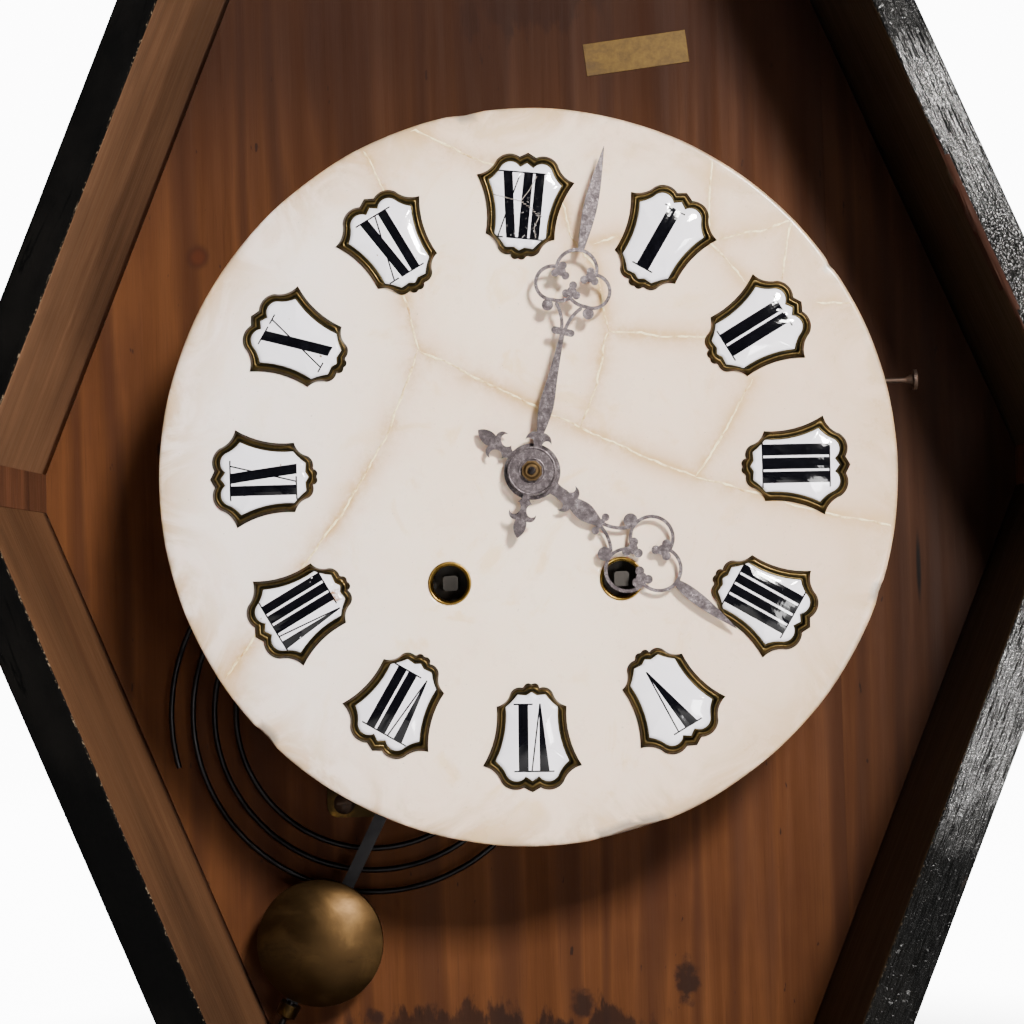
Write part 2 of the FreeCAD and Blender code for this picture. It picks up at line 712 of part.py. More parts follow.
def going_train():
    barrel("going", GOING_BARREL, 0.0)
    mainspring("going", GOING_BARREL)
    winding_arbor("going", GOING_BARREL)
    click("going", GOING_BARREL)

    phase = in_mesh(GOING_BARREL, GREAT[0], SECOND_AT, BARREL_PINION[0])
    parts = arbor(SECOND_AT, (FRONT_PLATE[0], REAR_PLATE[1]))
    parts.append(pinion(SECOND_AT, BARREL_PINION, (-82.4, -79.0), phase))
    parts.append(wheel(SECOND_AT, SECOND, (-50.5, -49.3)))
    save(fused(parts), "second_wheel")

    phase = in_mesh(SECOND_AT, SECOND[0], CENTRE, CENTRE_PINION[0])
    parts = [disc(CENTRE, ARBOR_R, (-119.6, REAR_PLATE[0] - 0.4)),
             disc(CENTRE, 0.9, (REAR_PLATE[0] - 0.4, REAR_PLATE[1])),
             pinion(CENTRE, CENTRE_PINION, (-51.5, -48.2), phase),
             wheel(CENTRE, CENTRE_WHEEL, (-72.0, -70.8))]
    save(fused(parts), "centre_wheel")

    phase = in_mesh(CENTRE, CENTRE_WHEEL[0], THIRD_AT, THIRD_PINION[0])
    parts = arbor(THIRD_AT, (FRONT_PLATE[0], REAR_PLATE[1]), 0.8, 0.5)
    parts.append(pinion(THIRD_AT, THIRD_PINION, (-73.6, -69.2), phase))
    parts.append(wheel(THIRD_AT, THIRD, (-48.5, -47.5), hub=3.0))
    save(fused(parts), "third_wheel")

    phase = in_mesh(THIRD_AT, THIRD[0], ESCAPE, ESCAPE_PINION[0])
    parts = [disc(ESCAPE, 0.8, (-54.0, REAR_PLATE[0] - 0.4)),
             disc(ESCAPE, 0.6, (-56.0, -54.0)),
             disc(ESCAPE, 0.6, (REAR_PLATE[0] - 0.4, -40.0)),
             pinion(ESCAPE, ESCAPE_PINION, (-48.9, -46.9), phase),
             escape_teeth()]
    save(fused(parts), "escape_wheel")


ESCAPE_Y = (-42.6, -41.6)


def escape_teeth():
    points = []
    for n in range(ESCAPE_TEETH):
        angle = 360.0 / ESCAPE_TEETH * n
        points.append(polar(ESCAPE, ESCAPE_R, angle))
        points.append(polar(ESCAPE, ESCAPE_R - 1.4, angle + 2.6))
        points.append(polar(ESCAPE, ESCAPE_R - 1.4, angle + 7.4))
    return spoked(prism(points, ESCAPE_Y), ESCAPE, 2.6, 8.4, ESCAPE_Y, spokes=5, arm=1.4)


def strike_train():
    barrel("strike", STRIKE_BARREL, 0.0)
    mainspring("strike", STRIKE_BARREL)
    winding_arbor("strike", STRIKE_BARREL)
    click("strike", STRIKE_BARREL)

    y = (-51.8, -50.6)
    phase = in_mesh(STRIKE_BARREL, GREAT[0], PIN_AT, BARREL_PINION[0])
    parts = arbor(PIN_AT, (FRONT_PLATE[0], REAR_PLATE[1]))
    parts.append(pinion(PIN_AT, BARREL_PINION, (-82.4, -79.0), phase))
    parts.append(wheel(PIN_AT, PIN_WHEEL, y, rim=13.0))
    for n in range(8):
        parts.append(disc(polar(PIN_AT, 15.0, 45 * n), 0.6, (y[1], y[1] + 1.7)))
    save(fused(parts), "pin_wheel")

    phase = in_mesh(PIN_AT, PIN_WHEEL[0], WARNING_AT, WARNING_PINION[0])
    parts = arbor(WARNING_AT, (FRONT_PLATE[0], REAR_PLATE[1]), 0.8, 0.5)
    parts.append(pinion(WARNING_AT, WARNING_PINION, (-53.0, -49.4), phase))
    parts.append(wheel(WARNING_AT, WARNING, (-66.0, -65.0), hub=3.0))
    save(fused(parts), "warning_wheel")

    phase = in_mesh(WARNING_AT, WARNING[0], FLY_AT, FLY_PINION[0])
    vane = box((FLY_AT[0] - 9.0, FLY_AT[0] + 9.0), (-62.5, -53.5), (FLY_AT[1] - 0.3, FLY_AT[1] + 0.3))
    parts = arbor(FLY_AT, (FRONT_PLATE[0], REAR_PLATE[1]), 0.8, 0.5)
    parts.append(disc(FLY_AT, 1.6, (-62.5, -53.5)))
    parts.append(pinion(FLY_AT, FLY_PINION, (-67.4, -63.6), phase))
    parts.append(vane)
    save(fused(parts), "fly")


HAMMER_HEAD = (-64.5, -6.4)


def hammer():
    """Arbor and tail between the plates, arm and head behind them, over the gong's top turn."""
    tail_end = (-47.4, 7.0)
    tail_y = (-50.2, -48.6)
    arm_y = (-41.5, -39.9)
    parts = arbor(HAMMER, (FRONT_PLATE[0], arm_y[0]), 1.1, 0.7)
    parts += strut(HAMMER, tail_end, 1.8, tail_y)
    parts.append(disc(HAMMER, 2.4, tail_y))
    parts.append(disc(HAMMER, 2.6, arm_y))
    parts += strut(HAMMER, HAMMER_HEAD, 2.4, arm_y)
    parts.append(disc(HAMMER_HEAD, 1.6, (arm_y[0], GONG_PLANE + 3.5)))
    parts.append(disc(HAMMER_HEAD, 4.2, (GONG_PLANE - 4.5, GONG_PLANE + 4.5)))
    save(fused(parts), "hammer")


def motion_work():
    """Cannon pinion, minute wheel on its stud, and the hour wheel on the cannon."""
    cannon = (12, 0.625)
    minute = (36, 0.625)
    minute_pinion = (10, 0.6)
    hour = (40, 0.6)
    body = fused([pinion(CENTRE, cannon, (-92.0, -88.6), 0.0),
                  disc(CENTRE, CANNON_R, (MINUTE_PLANE[0], -88.6))])
    save(body.cut(disc(CENTRE, ARBOR_R, (-125, -80))), "cannon_pinion")

    phase = in_mesh(CENTRE, cannon[0], MOTION_STUD, minute[0])
    parts = [wheel(MOTION_STUD, minute, (-90.8, -89.8), phase, hub=4.5),
             disc(MOTION_STUD, 3.4, (-92.9, -89.8)),
             pinion(MOTION_STUD, minute_pinion, (-96.4, -92.9), 0.0)]
    save(fused(parts).cut(disc(MOTION_STUD, 1.0 + RUN, (-100, -80))), "minute_wheel")

    phase = in_mesh(MOTION_STUD, minute_pinion[0], CENTRE, hour[0])
    parts = [wheel(CENTRE, hour, (-95.4, -94.2), phase, hub=5.6),
             disc(CENTRE, 5.2, (-97.0, -93.4)),
             disc(CENTRE, HOUR_PIPE_R, (-112.4, -93.4))]
    save(fused(parts).cut(disc(CENTRE, CANNON_R + RUN, (-125, -80))), "hour_wheel")


def escapement():
    """The anchor outside the rear plate, and the crutch that slips on its arbor."""
    y = (-43.2, -41.2)
    outer = [polar(ESCAPE, ESCAPE_R + 3.6, a) for a in (42, 60, 75, 90, 105, 120, 138)]
    inner = [polar(ESCAPE, ESCAPE_R + 1.9, a) for a in (138, 120, 105, 90, 75, 60, 42)]
    anchor_r = 0.8
    parts = [prism(outer + inner, y)]
    for angle in (45.0, 135.0):
        pallet = [polar(ESCAPE, ESCAPE_R + reach, angle) for reach in (3.0, 1.3)]
        parts += strut(*pallet, 1.2, y)
    parts.append(disc(PIVOT, 3.0, y))
    parts.append(disc(PIVOT, anchor_r, (REAR_PLATE[0], -38.0)))
    save(fused(parts), "anchor")

    y = (-36.8, -35.6)
    drop = PIVOT[1] - 42.0
    ring = tube(PIVOT, 2.8, anchor_r + RUN, (-37.8, -35.6))
    arm = fused(strut((0, PIVOT[1] - 2.4), (0, drop), 2.4, y))
    foot = box((-5.4, 5.4), y, (drop - 2.0, drop + 2.0))
    prongs = [box((x, x + 1.6), (y[0], ROD_PLANE + 2.0), (drop - 2.0, drop + 2.0)) for x in (-4.8, 3.2)]
    parts = [ring, arm.cut(disc(PIVOT, anchor_r + RUN, (-60, 0))), foot] + prongs
    save(turned(fused(parts), PIVOT, SWING), "crutch")


PIN_R = 1.5


def suspension_cock():
    """Screwed to the rear plate above the pivot; its pin carries the pendulum's eye."""
    top = 22.0
    parts = [box((-9, 9), (REAR_PLATE[1], -41.6), (8, top)),
             box((-4, 4), (-41.6, -27.4), (12, 18)),
             box((-4, 4), (-40.2, -38.8), (PIVOT[1] - 4, 12)),
             box((-4, 4), (-29.0, -27.4), (PIVOT[1] - 4, 12)),
             disc(PIVOT, PIN_R, (ROD_PLANE - 2.6, -28.0)),
             box((-4, 4), (-34.6, -33.4), (PIVOT[1] - 4, 12))]
    cock = fused(parts)
    return cock.cut(disc(PIVOT, 0.8 + RUN, (-40.5, -38.5)))


def plates():
    """Front and rear plates, with a running hole for every pivot."""
    holes = [(SECOND_AT, 0.6), (THIRD_AT, 0.5), (PIN_AT, 0.6), (WARNING_AT, 0.5), (FLY_AT, 0.5),
             (HAMMER, 0.7)]
    half, top, bottom = PLATE_HALF, PLATE_TOP, PLATE_BOTTOM
    ear = (14.0, 46.0)
    outline = [(-half, bottom), (half, bottom), (half, ear[0]), (EAR_OUT, ear[0]), (EAR_OUT, ear[1]),
               (half, ear[1]), (half, top), (-half, top), (-half, ear[1]), (-EAR_OUT, ear[1]),
               (-EAR_OUT, ear[0]), (-half, ear[0])]
    front = prism(outline, FRONT_PLATE)
    rear = box((-half, half), REAR_PLATE, (bottom, top))
    everywhere = (-200, 0)
    for at, r in holes:
        front = front.cut(disc(at, r + RUN, everywhere))
        rear = rear.cut(disc(at, r + RUN, everywhere))
    for at in (GOING_BARREL, STRIKE_BARREL):
        front = front.cut(disc(at, ARBOR_FRONT_R + RUN, everywhere))
        rear = rear.cut(disc(at, ARBOR_REAR_R + RUN, everywhere))
        front = front.cut(disc((at[0] + CLICK_SCREW[0], at[1] + CLICK_SCREW[1]), 1.2 + RUN, everywhere))
    front = front.cut(disc(CENTRE, ARBOR_R + RUN, everywhere))
    rear = rear.cut(disc(CENTRE, 0.9 + RUN, everywhere))
    rear = rear.cut(disc(ESCAPE, 0.6 + RUN, everywhere))
    rear = rear.cut(disc(PIVOT, 0.8 + RUN, everywhere))
    for at in PILLARS:
        front = front.cut(disc(at, 1.6, everywhere))
        rear = rear.cut(disc(at, 1.6, everywhere))
    for side in (-1, 1):
        for z in (20.0, 40.0):
            front = front.cut(disc((side * 74.0, z), 1.8, everywhere))
    stud = disc(MOTION_STUD, 1.0, (-97.0, FRONT_PLATE[0]))
    foot = disc(MOTION_STUD, 2.0, (-89.2, FRONT_PLATE[0]))
    save(fused([front, stud, foot]), "front_plate")
    save(fused([rear, escape_bridge()]), "rear_plate")
    between = (FRONT_PLATE[1], REAR_PLATE[0])
    save(Part.makeCompound([disc(at, PILLAR_R, between) for at in PILLARS]), "pillars")


def escape_bridge():
    """A small bridge inside the rear plate that holds the escape arbor's front pivot."""
    front = box((-4, 4), (-57.0, -55.4), (ESCAPE[1] - 14, ESCAPE[1] + 3))
    leg = box((-4, 4), (-55.4, REAR_PLATE[0]), (ESCAPE[1] - 14, ESCAPE[1] - 10.5))
    return fused([front, leg]).cut(disc(ESCAPE, 0.6 + RUN, (-60, -55)))


def screw_head(at, r, y, way, thick=1.4):
    """A slotted cheese head standing on the face y, towards way (-1 front, +1 rear)."""
    low, high = sorted((y, y + way * thick))
    head = disc(at, r, (low, high))
    outer = low if way < 0 else high
    slot = box((at[0] - r - 1, at[0] + r + 1), (outer - 0.5, outer + 0.5), (at[1] - 0.4, at[1] + 0.4))
    return head.cut(slot)


def screws():
    pillar = []
    for at in PILLARS:
        pillar.append(screw_head(at, SCREW_HEAD_R, FRONT_PLATE[0], -1))
        pillar.append(screw_head(at, SCREW_HEAD_R, REAR_PLATE[1], 1))
    save(Part.makeCompound(pillar), "pillar_screws")
    wood = []
    for side in (-1, 1):
        for z in (20.0, 40.0):
            at = (side * 74.0, z)
            wood.append(disc(at, 1.6, (FRONT_PLATE[0], -66.0)))
    for at in HANGER_SCREWS:
        wood.append(disc(at, HANGER_SCREW_R, (-BOARD, 0)))
    save(Part.makeCompound(wood), "wood_screws")
    save(Part.makeCompound(board_nails()), "board_nails")


def blocks():
    """Two wooden carriers from the back boards to the front plate's ears."""
    x0, x1, z0, z1 = BLOCK
    carriers = []
    for side in (-1, 1):
        x = sorted((side * x0, side * x1))
        carrier = box(x, (FRONT_PLATE[1], -BOARD), (z0, z1))
        for z in (20.0, 40.0):
            carrier = carrier.cut(disc((side * 74.0, z), 1.6, (FRONT_PLATE[1] - 1, -66.0)))
        carriers.append(carrier)
    save(Part.makeCompound(carriers), "movement_blocks")


# ---------------------------------------------------------------- gong

def gong_coil():
    """Round wire in quarter turns of falling radius, then a half turn in to the post."""
    quarters = 14
    fall = GONG_PITCH / 4
    start = 195.0
    r = GONG_R
    centre = GONG
    spine = []
    for n in range(quarters):
        a = start - 90.0 * n
        points = [polar(centre, r, a), polar(centre, r, a - 45), polar(centre, r, a - 90)]
        spine.append(points)
        inner = polar((0, 0), fall, a - 90)
        centre = (centre[0] + inner[0], centre[1] + inner[1])
        r -= fall
    end = start - 90.0 * quarters
    entry = spine[-1][-1]
    reach = math.dist(entry, GONG)
    half = reach / 2
    pivot = polar(entry, half, end + 180)
    spine.append([entry, polar(pivot, half, end - 45), polar(pivot, half, end - 90)])
    spine.append([polar(pivot, half, end - 90), polar(pivot, half, end - 135), polar(pivot, half, end - 180)])
    pieces = []
    for points in spine:
        pieces.append(Part.Arc(*[Vector(x, GONG_PLANE, z) for x, z in points]).toShape())
    wire = Part.Wire(pieces)
    first = Vector(spine[0][0][0], GONG_PLANE, spine[0][0][1])
    tangent = wire.Edges[0].tangentAt(wire.Edges[0].FirstParameter)
    ring = Part.Wire(Part.makeCircle(GONG_WIRE_R, first, tangent))
    coil = wire.makePipeShell([ring], True, False)
    return coil, spine[-1][-1]


def gong():
    coil, post_at = gong_coil()
    post = disc(post_at, 6.5, (-BOARD - 16.0, -BOARD - 2.0))
    save(coil.cut(disc(post_at, 6.5, (-30, -5))), "gong_coil")
    save(post, "gong_post")
    x0, x1 = -97.9, -59.1
    z0, z1 = -146.5, -88.0
    base = box((x0, x1), (-BOARD - 2.0, -BOARD), (z0, z1))
    edges = [e for e in base.Edges if abs(e.tangentAt(0).y) > 0.9]
    base = base.makeFillet(5.0, edges)
    save(base, "gong_base")
    heads = []
    for at in ((x0 + 7.6, z0 + 6.1), (x1 - 7.6, z0 + 6.1), (x0 + 7.6, z1 - 6.1), (x1 - 7.6, z1 - 6.1)):
        ball = Part.makeSphere(5.6, Vector(at[0], -BOARD - 2.0 + 3.0, at[1]))
        dome = ball.common(disc(at, 5.0, (-BOARD - 5.0, -BOARD - 2.0)))
        slot = box((at[0] - 6, at[0] + 6), (-BOARD - 6.0, -BOARD - 3.7), (at[1] - 0.5, at[1] + 0.5))
        heads.append(dome.cut(slot))
    save(Part.makeCompound(heads), "gong_screws")


# ---------------------------------------------------------------- pendulum

def hang(shape):
    """Puts a pendulum piece, drawn plumb below the pivot, at its resting slant."""
    return turned(moved(shape, *PIVOT), PIVOT, SWING)


ROD_WIDTH = 5.4
ROD_HALF = 0.6
THREAD_R = 1.5
THREAD_LENGTH = 15.0            # below the bob's rim


def bob_shell(way):
    """Half of the lens-shaped bob: a spherical cap over a short rim, grooved for the rod."""
    rim = 1.0
    height = BOB_HALF - rim
    sphere_r = (BOB_R ** 2 + height ** 2) / (2 * height)
    centre_y = ROD_PLANE + way * (BOB_HALF - sphere_r)
    at = (0.0, -BOB_DROP)
    low, high = sorted((ROD_PLANE, ROD_PLANE + way * (BOB_HALF + 1)))
    shell = Part.makeSphere(sphere_r, Vector(0, centre_y, -BOB_DROP)).common(disc(at, BOB_R, (low, high)))
    half = ROD_WIDTH / 2 + 0.2
    deep = ROD_HALF + 0.1
    reach = BOB_R + 5
    groove = box((-half, half), (ROD_PLANE - deep, ROD_PLANE + deep), (-BOB_DROP - reach, -BOB_DROP + reach))
    return hang(shell.cut(groove))


def pendulum():
    thick = (ROD_PLANE - ROD_HALF, ROD_PLANE + ROD_HALF)
    half = ROD_WIDTH / 2
    eye = tube((0, 0), 4.2, PIN_R + RUN, thick)
    strip = box((-half, half), thick, (-BOB_DROP - BOB_R - 1.2, -3.0))
    strip = strip.cut(disc((0, 0), PIN_R + RUN, (-60, 0)))
    tip = Vector(0, ROD_PLANE, -BOB_DROP - BOB_R - THREAD_LENGTH)
    thread = Part.makeCylinder(THREAD_R, THREAD_LENGTH - 0.5, tip, Vector(0, 0, 1))
    save(hang(fused([eye, strip, thread])), "pendulum_rod")
    save(bob_shell(-1), "bob_front")
    save(bob_shell(1), "bob_back")
    low = -BOB_DROP - BOB_R - 7.0
    nut = Part.makeCylinder(4.6, 5.4, Vector(0, ROD_PLANE, low), Vector(0, 0, 1))
    neck = Part.makeCone(2.4, 4.6, 1.6, Vector(0, ROD_PLANE, low - 1.6), Vector(0, 0, 1))
    hole = Part.makeCylinder(THREAD_R, 20.0, Vector(0, ROD_PLANE, low - 8), Vector(0, 0, 1))
    save(hang(fused([nut, neck]).cut(hole)), "rating_nut")


case()
numerals()
dial()
hands()
plates()
blocks()
screws()
going_train()
strike_train()
hammer()
motion_work()
escapement()
save(suspension_cock(), "suspension_cock")
gong()
pendulum()
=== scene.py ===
"""Looks of the lozenge-cased wall clock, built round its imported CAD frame.

Blender works in metres. Sizes here are millimetres wherever a function multiplies them by MM.
X to the right seen from the front, Y into the wall, Z up.
"""
import json
import math

import bmesh
import bpy
from mathutils import Matrix, Vector, noise

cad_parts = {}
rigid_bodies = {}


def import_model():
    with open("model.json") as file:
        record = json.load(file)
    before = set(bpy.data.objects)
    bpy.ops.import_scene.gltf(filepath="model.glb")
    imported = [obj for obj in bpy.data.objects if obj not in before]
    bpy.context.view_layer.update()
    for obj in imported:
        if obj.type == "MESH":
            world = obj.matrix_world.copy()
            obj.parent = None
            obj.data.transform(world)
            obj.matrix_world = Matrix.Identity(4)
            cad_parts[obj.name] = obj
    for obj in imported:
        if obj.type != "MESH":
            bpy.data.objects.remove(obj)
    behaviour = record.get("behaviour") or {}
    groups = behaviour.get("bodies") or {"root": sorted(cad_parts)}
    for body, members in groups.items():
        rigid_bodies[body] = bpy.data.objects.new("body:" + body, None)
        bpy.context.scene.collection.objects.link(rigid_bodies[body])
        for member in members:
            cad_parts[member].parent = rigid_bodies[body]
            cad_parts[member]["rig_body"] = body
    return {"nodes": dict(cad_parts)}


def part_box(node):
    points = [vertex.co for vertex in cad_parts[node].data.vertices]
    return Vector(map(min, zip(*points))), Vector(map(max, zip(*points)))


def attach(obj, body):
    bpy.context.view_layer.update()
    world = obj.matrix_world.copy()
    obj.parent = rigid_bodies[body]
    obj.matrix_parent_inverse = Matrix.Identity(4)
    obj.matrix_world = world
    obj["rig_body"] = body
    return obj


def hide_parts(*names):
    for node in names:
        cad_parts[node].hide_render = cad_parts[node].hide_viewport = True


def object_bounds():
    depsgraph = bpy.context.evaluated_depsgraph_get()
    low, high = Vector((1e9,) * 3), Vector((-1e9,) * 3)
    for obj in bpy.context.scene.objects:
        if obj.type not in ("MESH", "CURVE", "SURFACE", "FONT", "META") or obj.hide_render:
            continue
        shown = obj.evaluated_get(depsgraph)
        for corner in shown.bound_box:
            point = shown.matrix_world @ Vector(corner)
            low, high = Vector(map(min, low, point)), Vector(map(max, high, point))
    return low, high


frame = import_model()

cad_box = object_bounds()
MM = 0.001


# ---------------------------------------------------------------- small tools for materials

def tint(red, green, blue):
    """A linear colour from the usual 0 to 255 numbers."""
    levels = [c / 255 for c in (red, green, blue)]
    return tuple(c / 12.92 if c < 0.04045 else ((c + 0.055) / 1.055) ** 2.4 for c in levels) + (1.0,)


class Paint:
    """One material: a Principled shader, and short calls that make the nodes which feed it."""

    def __init__(self, name, **constants):
        self.material = bpy.data.materials.new(name)
        self.material.use_nodes = True
        self.nodes = self.material.node_tree.nodes
        self.links = self.material.node_tree.links
        self.shader = next(n for n in self.nodes if n.type == "BSDF_PRINCIPLED")
        self.place = self.nodes.new("ShaderNodeTexCoord").outputs["Object"]
        for key, value in constants.items():
            self.put(value, key)

    def put(self, value, key):
        """Sets or links one of the shader's sockets; an underscore in key stands for a space."""
        self.join(value, self.shader.inputs[key.replace("_", " ")])

    def join(self, value, socket):
        if isinstance(value, bpy.types.NodeSocket):
            self.links.new(value, socket)
        else:
            socket.default_value = value

    def node(self, kind, **inputs):
        """A new node with its inputs set or linked."""
        made = self.nodes.new("ShaderNode" + kind)
        for key, value in inputs.items():
            self.join(value, made.inputs[key])
        return made

    def math(self, kind, a, b):
        made = self.node("Math")
        made.operation = kind
        self.join(a, made.inputs[0])
        self.join(b, made.inputs[1])
        return made.outputs[0]

    def times(self, first, *others):
        for other in others:
            first = self.math("MULTIPLY", first, other)
        return first

    def plus(self, a, b):
        return self.math("ADD", a, b)

    def minus(self, a, b):
        return self.math("SUBTRACT", a, b)

    def length(self, place):
        made = self.node("VectorMath")
        made.operation = "LENGTH"
        self.join(place, made.inputs[0])
        return made.outputs["Value"]

    def mix(self, share, a, b):
        made = self.node("Mix")
        made.data_type = "RGBA"
        for socket, value in zip((made.inputs[0], made.inputs[6], made.inputs[7]), (share, a, b)):
            self.join(value, socket)
        return made.outputs[2]

    def layers(self, base, *coats):
        """Lays (share, colour) coats over a base colour, the first one lowest."""
        for share, colour in coats:
            base = self.mix(share, base, colour)
        return base

    def mapped(self, scale, turn=0.0, shift=(0, 0, 0)):
        """The place in the object, turned about Y and then stretched, for a grain that runs one way."""
        turned = self.node("Mapping", Vector=self.place, Rotation=(0, turn, 0), Location=shift)
        return self.node("Mapping", Vector=turned.outputs[0], Scale=scale).outputs[0]

    def noise(self, scale, detail=4.0, rough=0.55, place=None, warp=0.0):
        return self.node("TexNoise", Vector=place or self.place, Scale=scale, Detail=detail, Roughness=rough,
                         Distortion=warp).outputs["Fac"]

    def grain(self, scale, detail, rough, stretch, turn=0.0, shift=(0, 0, 0), warp=0.0):
        """Noise drawn out along Z before the turn; the smaller stretch is, the longer the marks."""
        return self.noise(scale, detail, rough, self.mapped((1, 1, stretch), turn, shift), warp)

    def cells(self, scale, place):
        made = self.node("TexVoronoi", Vector=place, Scale=scale)
        made.feature = "DISTANCE_TO_EDGE"
        return made.outputs["Distance"]

    def waves(self, scale, place, warp, detail, kind="BANDS"):
        made = self.node("TexWave", Vector=place, Scale=scale, Distortion=warp, Detail=detail)
        made.wave_type = kind
        return made.outputs["Fac"]

    def ramp(self, value, *stops):
        """A colour for value, from (position, colour) stops."""
        made = self.node("ValToRGB", Fac=value)
        elements = made.color_ramp.elements
        while len(elements) < len(stops):
            elements.new(0.5)
        for element, (position, colour) in zip(elements, stops):
            element.position = position
            element.color = colour
        return made.outputs[0]

    def band(self, value, low, high, low_out=0.0, high_out=1.0):
        """A smooth step from low_out, where value is low, to high_out, where it is high."""
        made = self.node("MapRange")
        made.interpolation_type = "SMOOTHSTEP"
        self.join(value, made.inputs[0])
        if low > high:
            low, high, low_out, high_out = high, low, high_out, low_out
        for socket, number in zip(made.inputs[1:5], (low, high, low_out, high_out)):
            socket.default_value = number
        return made.outputs[0]

    def axis(self, name):
        return self.node("SeparateXYZ", Vector=self.place).outputs[name]

    def near(self, x, z, size, ragged=0.0, tall=1.0):
        """1 at a spot given in mm, falling to 0 at size mm from it; tall stretches the spot along Z."""
        moved = self.node("Mapping", Vector=self.place, Location=(-x * MM, 0, -z * MM / tall),
                          Scale=(1, 0, 1 / tall))
        off = self.length(moved.outputs[0])
        if ragged:
            off = self.plus(off, self.times(self.minus(self.noise(160, 5), 0.5), ragged * MM))
        return self.band(off, size * MM * 0.35, size * MM, 1.0, 0.0)

    def painted(self, name):
        """A number that the mesh holds at each point."""
        made = self.node("Attribute")
        made.attribute_name = name
        return made.outputs["Fac"]

    def bump(self, height, depth, strength=1.0, under=None):
        made = self.node("Bump", Strength=strength, Distance=depth * MM, Height=height)
        if under is not None:
            self.join(under, made.inputs["Normal"])
        self.put(made.outputs[0], "Normal")
        return made.outputs[0]


# ---------------------------------------------------------------- materials

BLACK = tint(5, 5, 5)
BEHIND_FRONT = (-0.1185, -0.1170)   # y in metres where a wall's front face gives way to its sides
# Heights in metres where the right walls' varnish turns dull, and where it turns from streaks to beads.
DULL_TOP = (0.150, 0.180)
DULL_FOOT = (-0.160, -0.125)
BEADS_TOP = (0.118, 0.085)
BEADS_FOOT = (0.000, 0.030)


def ebonised(name, turn, varnish):
    """Black varnish on wood. Varnish is its IOR where it has crazed along the grain and beaded, or 0."""
    gloss = 1.0 if varnish else 0.0
    paint = Paint(name, Specular_IOR_Level=0.02)
    beads = paint.cells(1150, paint.mapped((1, 1, 0.6), turn))
    crawl = paint.grain(420, 4, 0.65, 0.4, turn)
    grain = paint.grain(1200, 5, 0.75, 0.05, turn)
    splits = paint.grain(210, 5, 0.7, 0.09, turn, warp=0.5)
    patches = paint.grain(17, 4, 0.6, 0.6, turn)
    scuffs = paint.grain(60, 6, 0.7, 0.3, turn)
    cut = paint.band(splits, 0.60, 0.68)
    sides = paint.band(paint.axis("Y"), *BEHIND_FRONT, 0.0, 0.8)
    rubbed = paint.band(paint.noise(620, 4, 0.75), 0.54, 0.62, 0.0, 1.0 - 0.7 * gloss)
    base = paint.mix(paint.band(patches, 0.42, 0.62), BLACK, tint(12, 11, 10))
    base = paint.layers(
        base,
        (paint.times(sides, paint.band(scuffs, 0.45, 0.62)), tint(40, 31, 25)),
        (paint.times(paint.band(scuffs, 0.66, 0.80), paint.band(grain, 0.45, 0.62)), tint(58, 46, 38)),
        (paint.times(paint.painted("rub"), rubbed), tint(108, 92, 74)),
        (cut, BLACK))
    paint.put(base, "Base_Color")
    paint.put(paint.plus(paint.band(crawl, 0.3, 0.7, 0.55, 0.75), paint.times(cut, 0.3)), "Roughness")
    if varnish:
        ragged = paint.times(paint.minus(paint.noise(70, 5), 0.5), 50 * MM)
        level = paint.plus(paint.axis("Z"), ragged)
        lit = paint.times(paint.band(level, *DULL_TOP, 1.0, 0.12), paint.band(level, *DULL_FOOT, 0.06, 1.0))
        streaks = paint.band(grain, 0.40, 0.58, 0.03, 1.0)
        drops = paint.times(paint.band(beads, 0.03, 0.22, 0.05, 1.0), paint.band(crawl, 0.34, 0.56, 0.2, 1.0))
        beaded_here = paint.times(paint.band(level, *BEADS_TOP), paint.band(level, *BEADS_FOOT))
        pattern = paint.mix(beaded_here, streaks, drops)
        glints = paint.band(paint.noise(480, 3), 0.64, 0.70, 0.0, 0.6)
        paint.put(paint.plus(paint.times(pattern, lit), glints), "Coat_Weight")
        paint.put(0.22, "Coat_Roughness")
        paint.put(varnish, "Coat_IOR")
    grained = paint.bump(grain, 0.12, 0.35 + 0.45 * gloss)
    split = paint.bump(splits, 0.35, 0.15 + 0.55 * gloss, grained)
    beaded = paint.bump(crawl, 0.35 * gloss + 0.05, 0.25 + 0.45 * gloss, split)
    top = paint.bump(paint.band(beads, 0.0, 0.25), 0.14 * gloss + 0.02, 0.5, beaded)
    paint.put(top, "Coat_Normal")
    return paint.material


def brown_wood(name, turn, dark, light, seed=0.0, rough=0.62):
    """Plain timber with its grain along Z before the turn."""
    paint = Paint(name, Specular_IOR_Level=0.2)
    shift = (seed, seed * 0.7, seed * 1.3)
    fibres = paint.grain(700, 5, 0.7, 0.03, turn, shift)
    streaks = paint.grain(70, 6, 0.65, 0.06, turn, shift, warp=0.6)
    blotches = paint.grain(9, 4, 0.6, 0.5, turn, shift)
    base = paint.layers(paint.ramp(streaks, (0.3, dark), (0.7, light)),
                        (paint.band(fibres, 0.35, 0.75, 0.0, 0.35), dark),
                        (paint.band(blotches, 0.35, 0.7, 0.0, 0.6), tint(26, 15, 9)))
    paint.put(base, "Base_Color")
    paint.put(paint.band(fibres, 0.2, 0.8, rough - 0.08, rough + 0.15), "Roughness")
    paint.bump(streaks, 0.3, 0.35, paint.bump(fibres, 0.18, 0.6))
    return paint.material


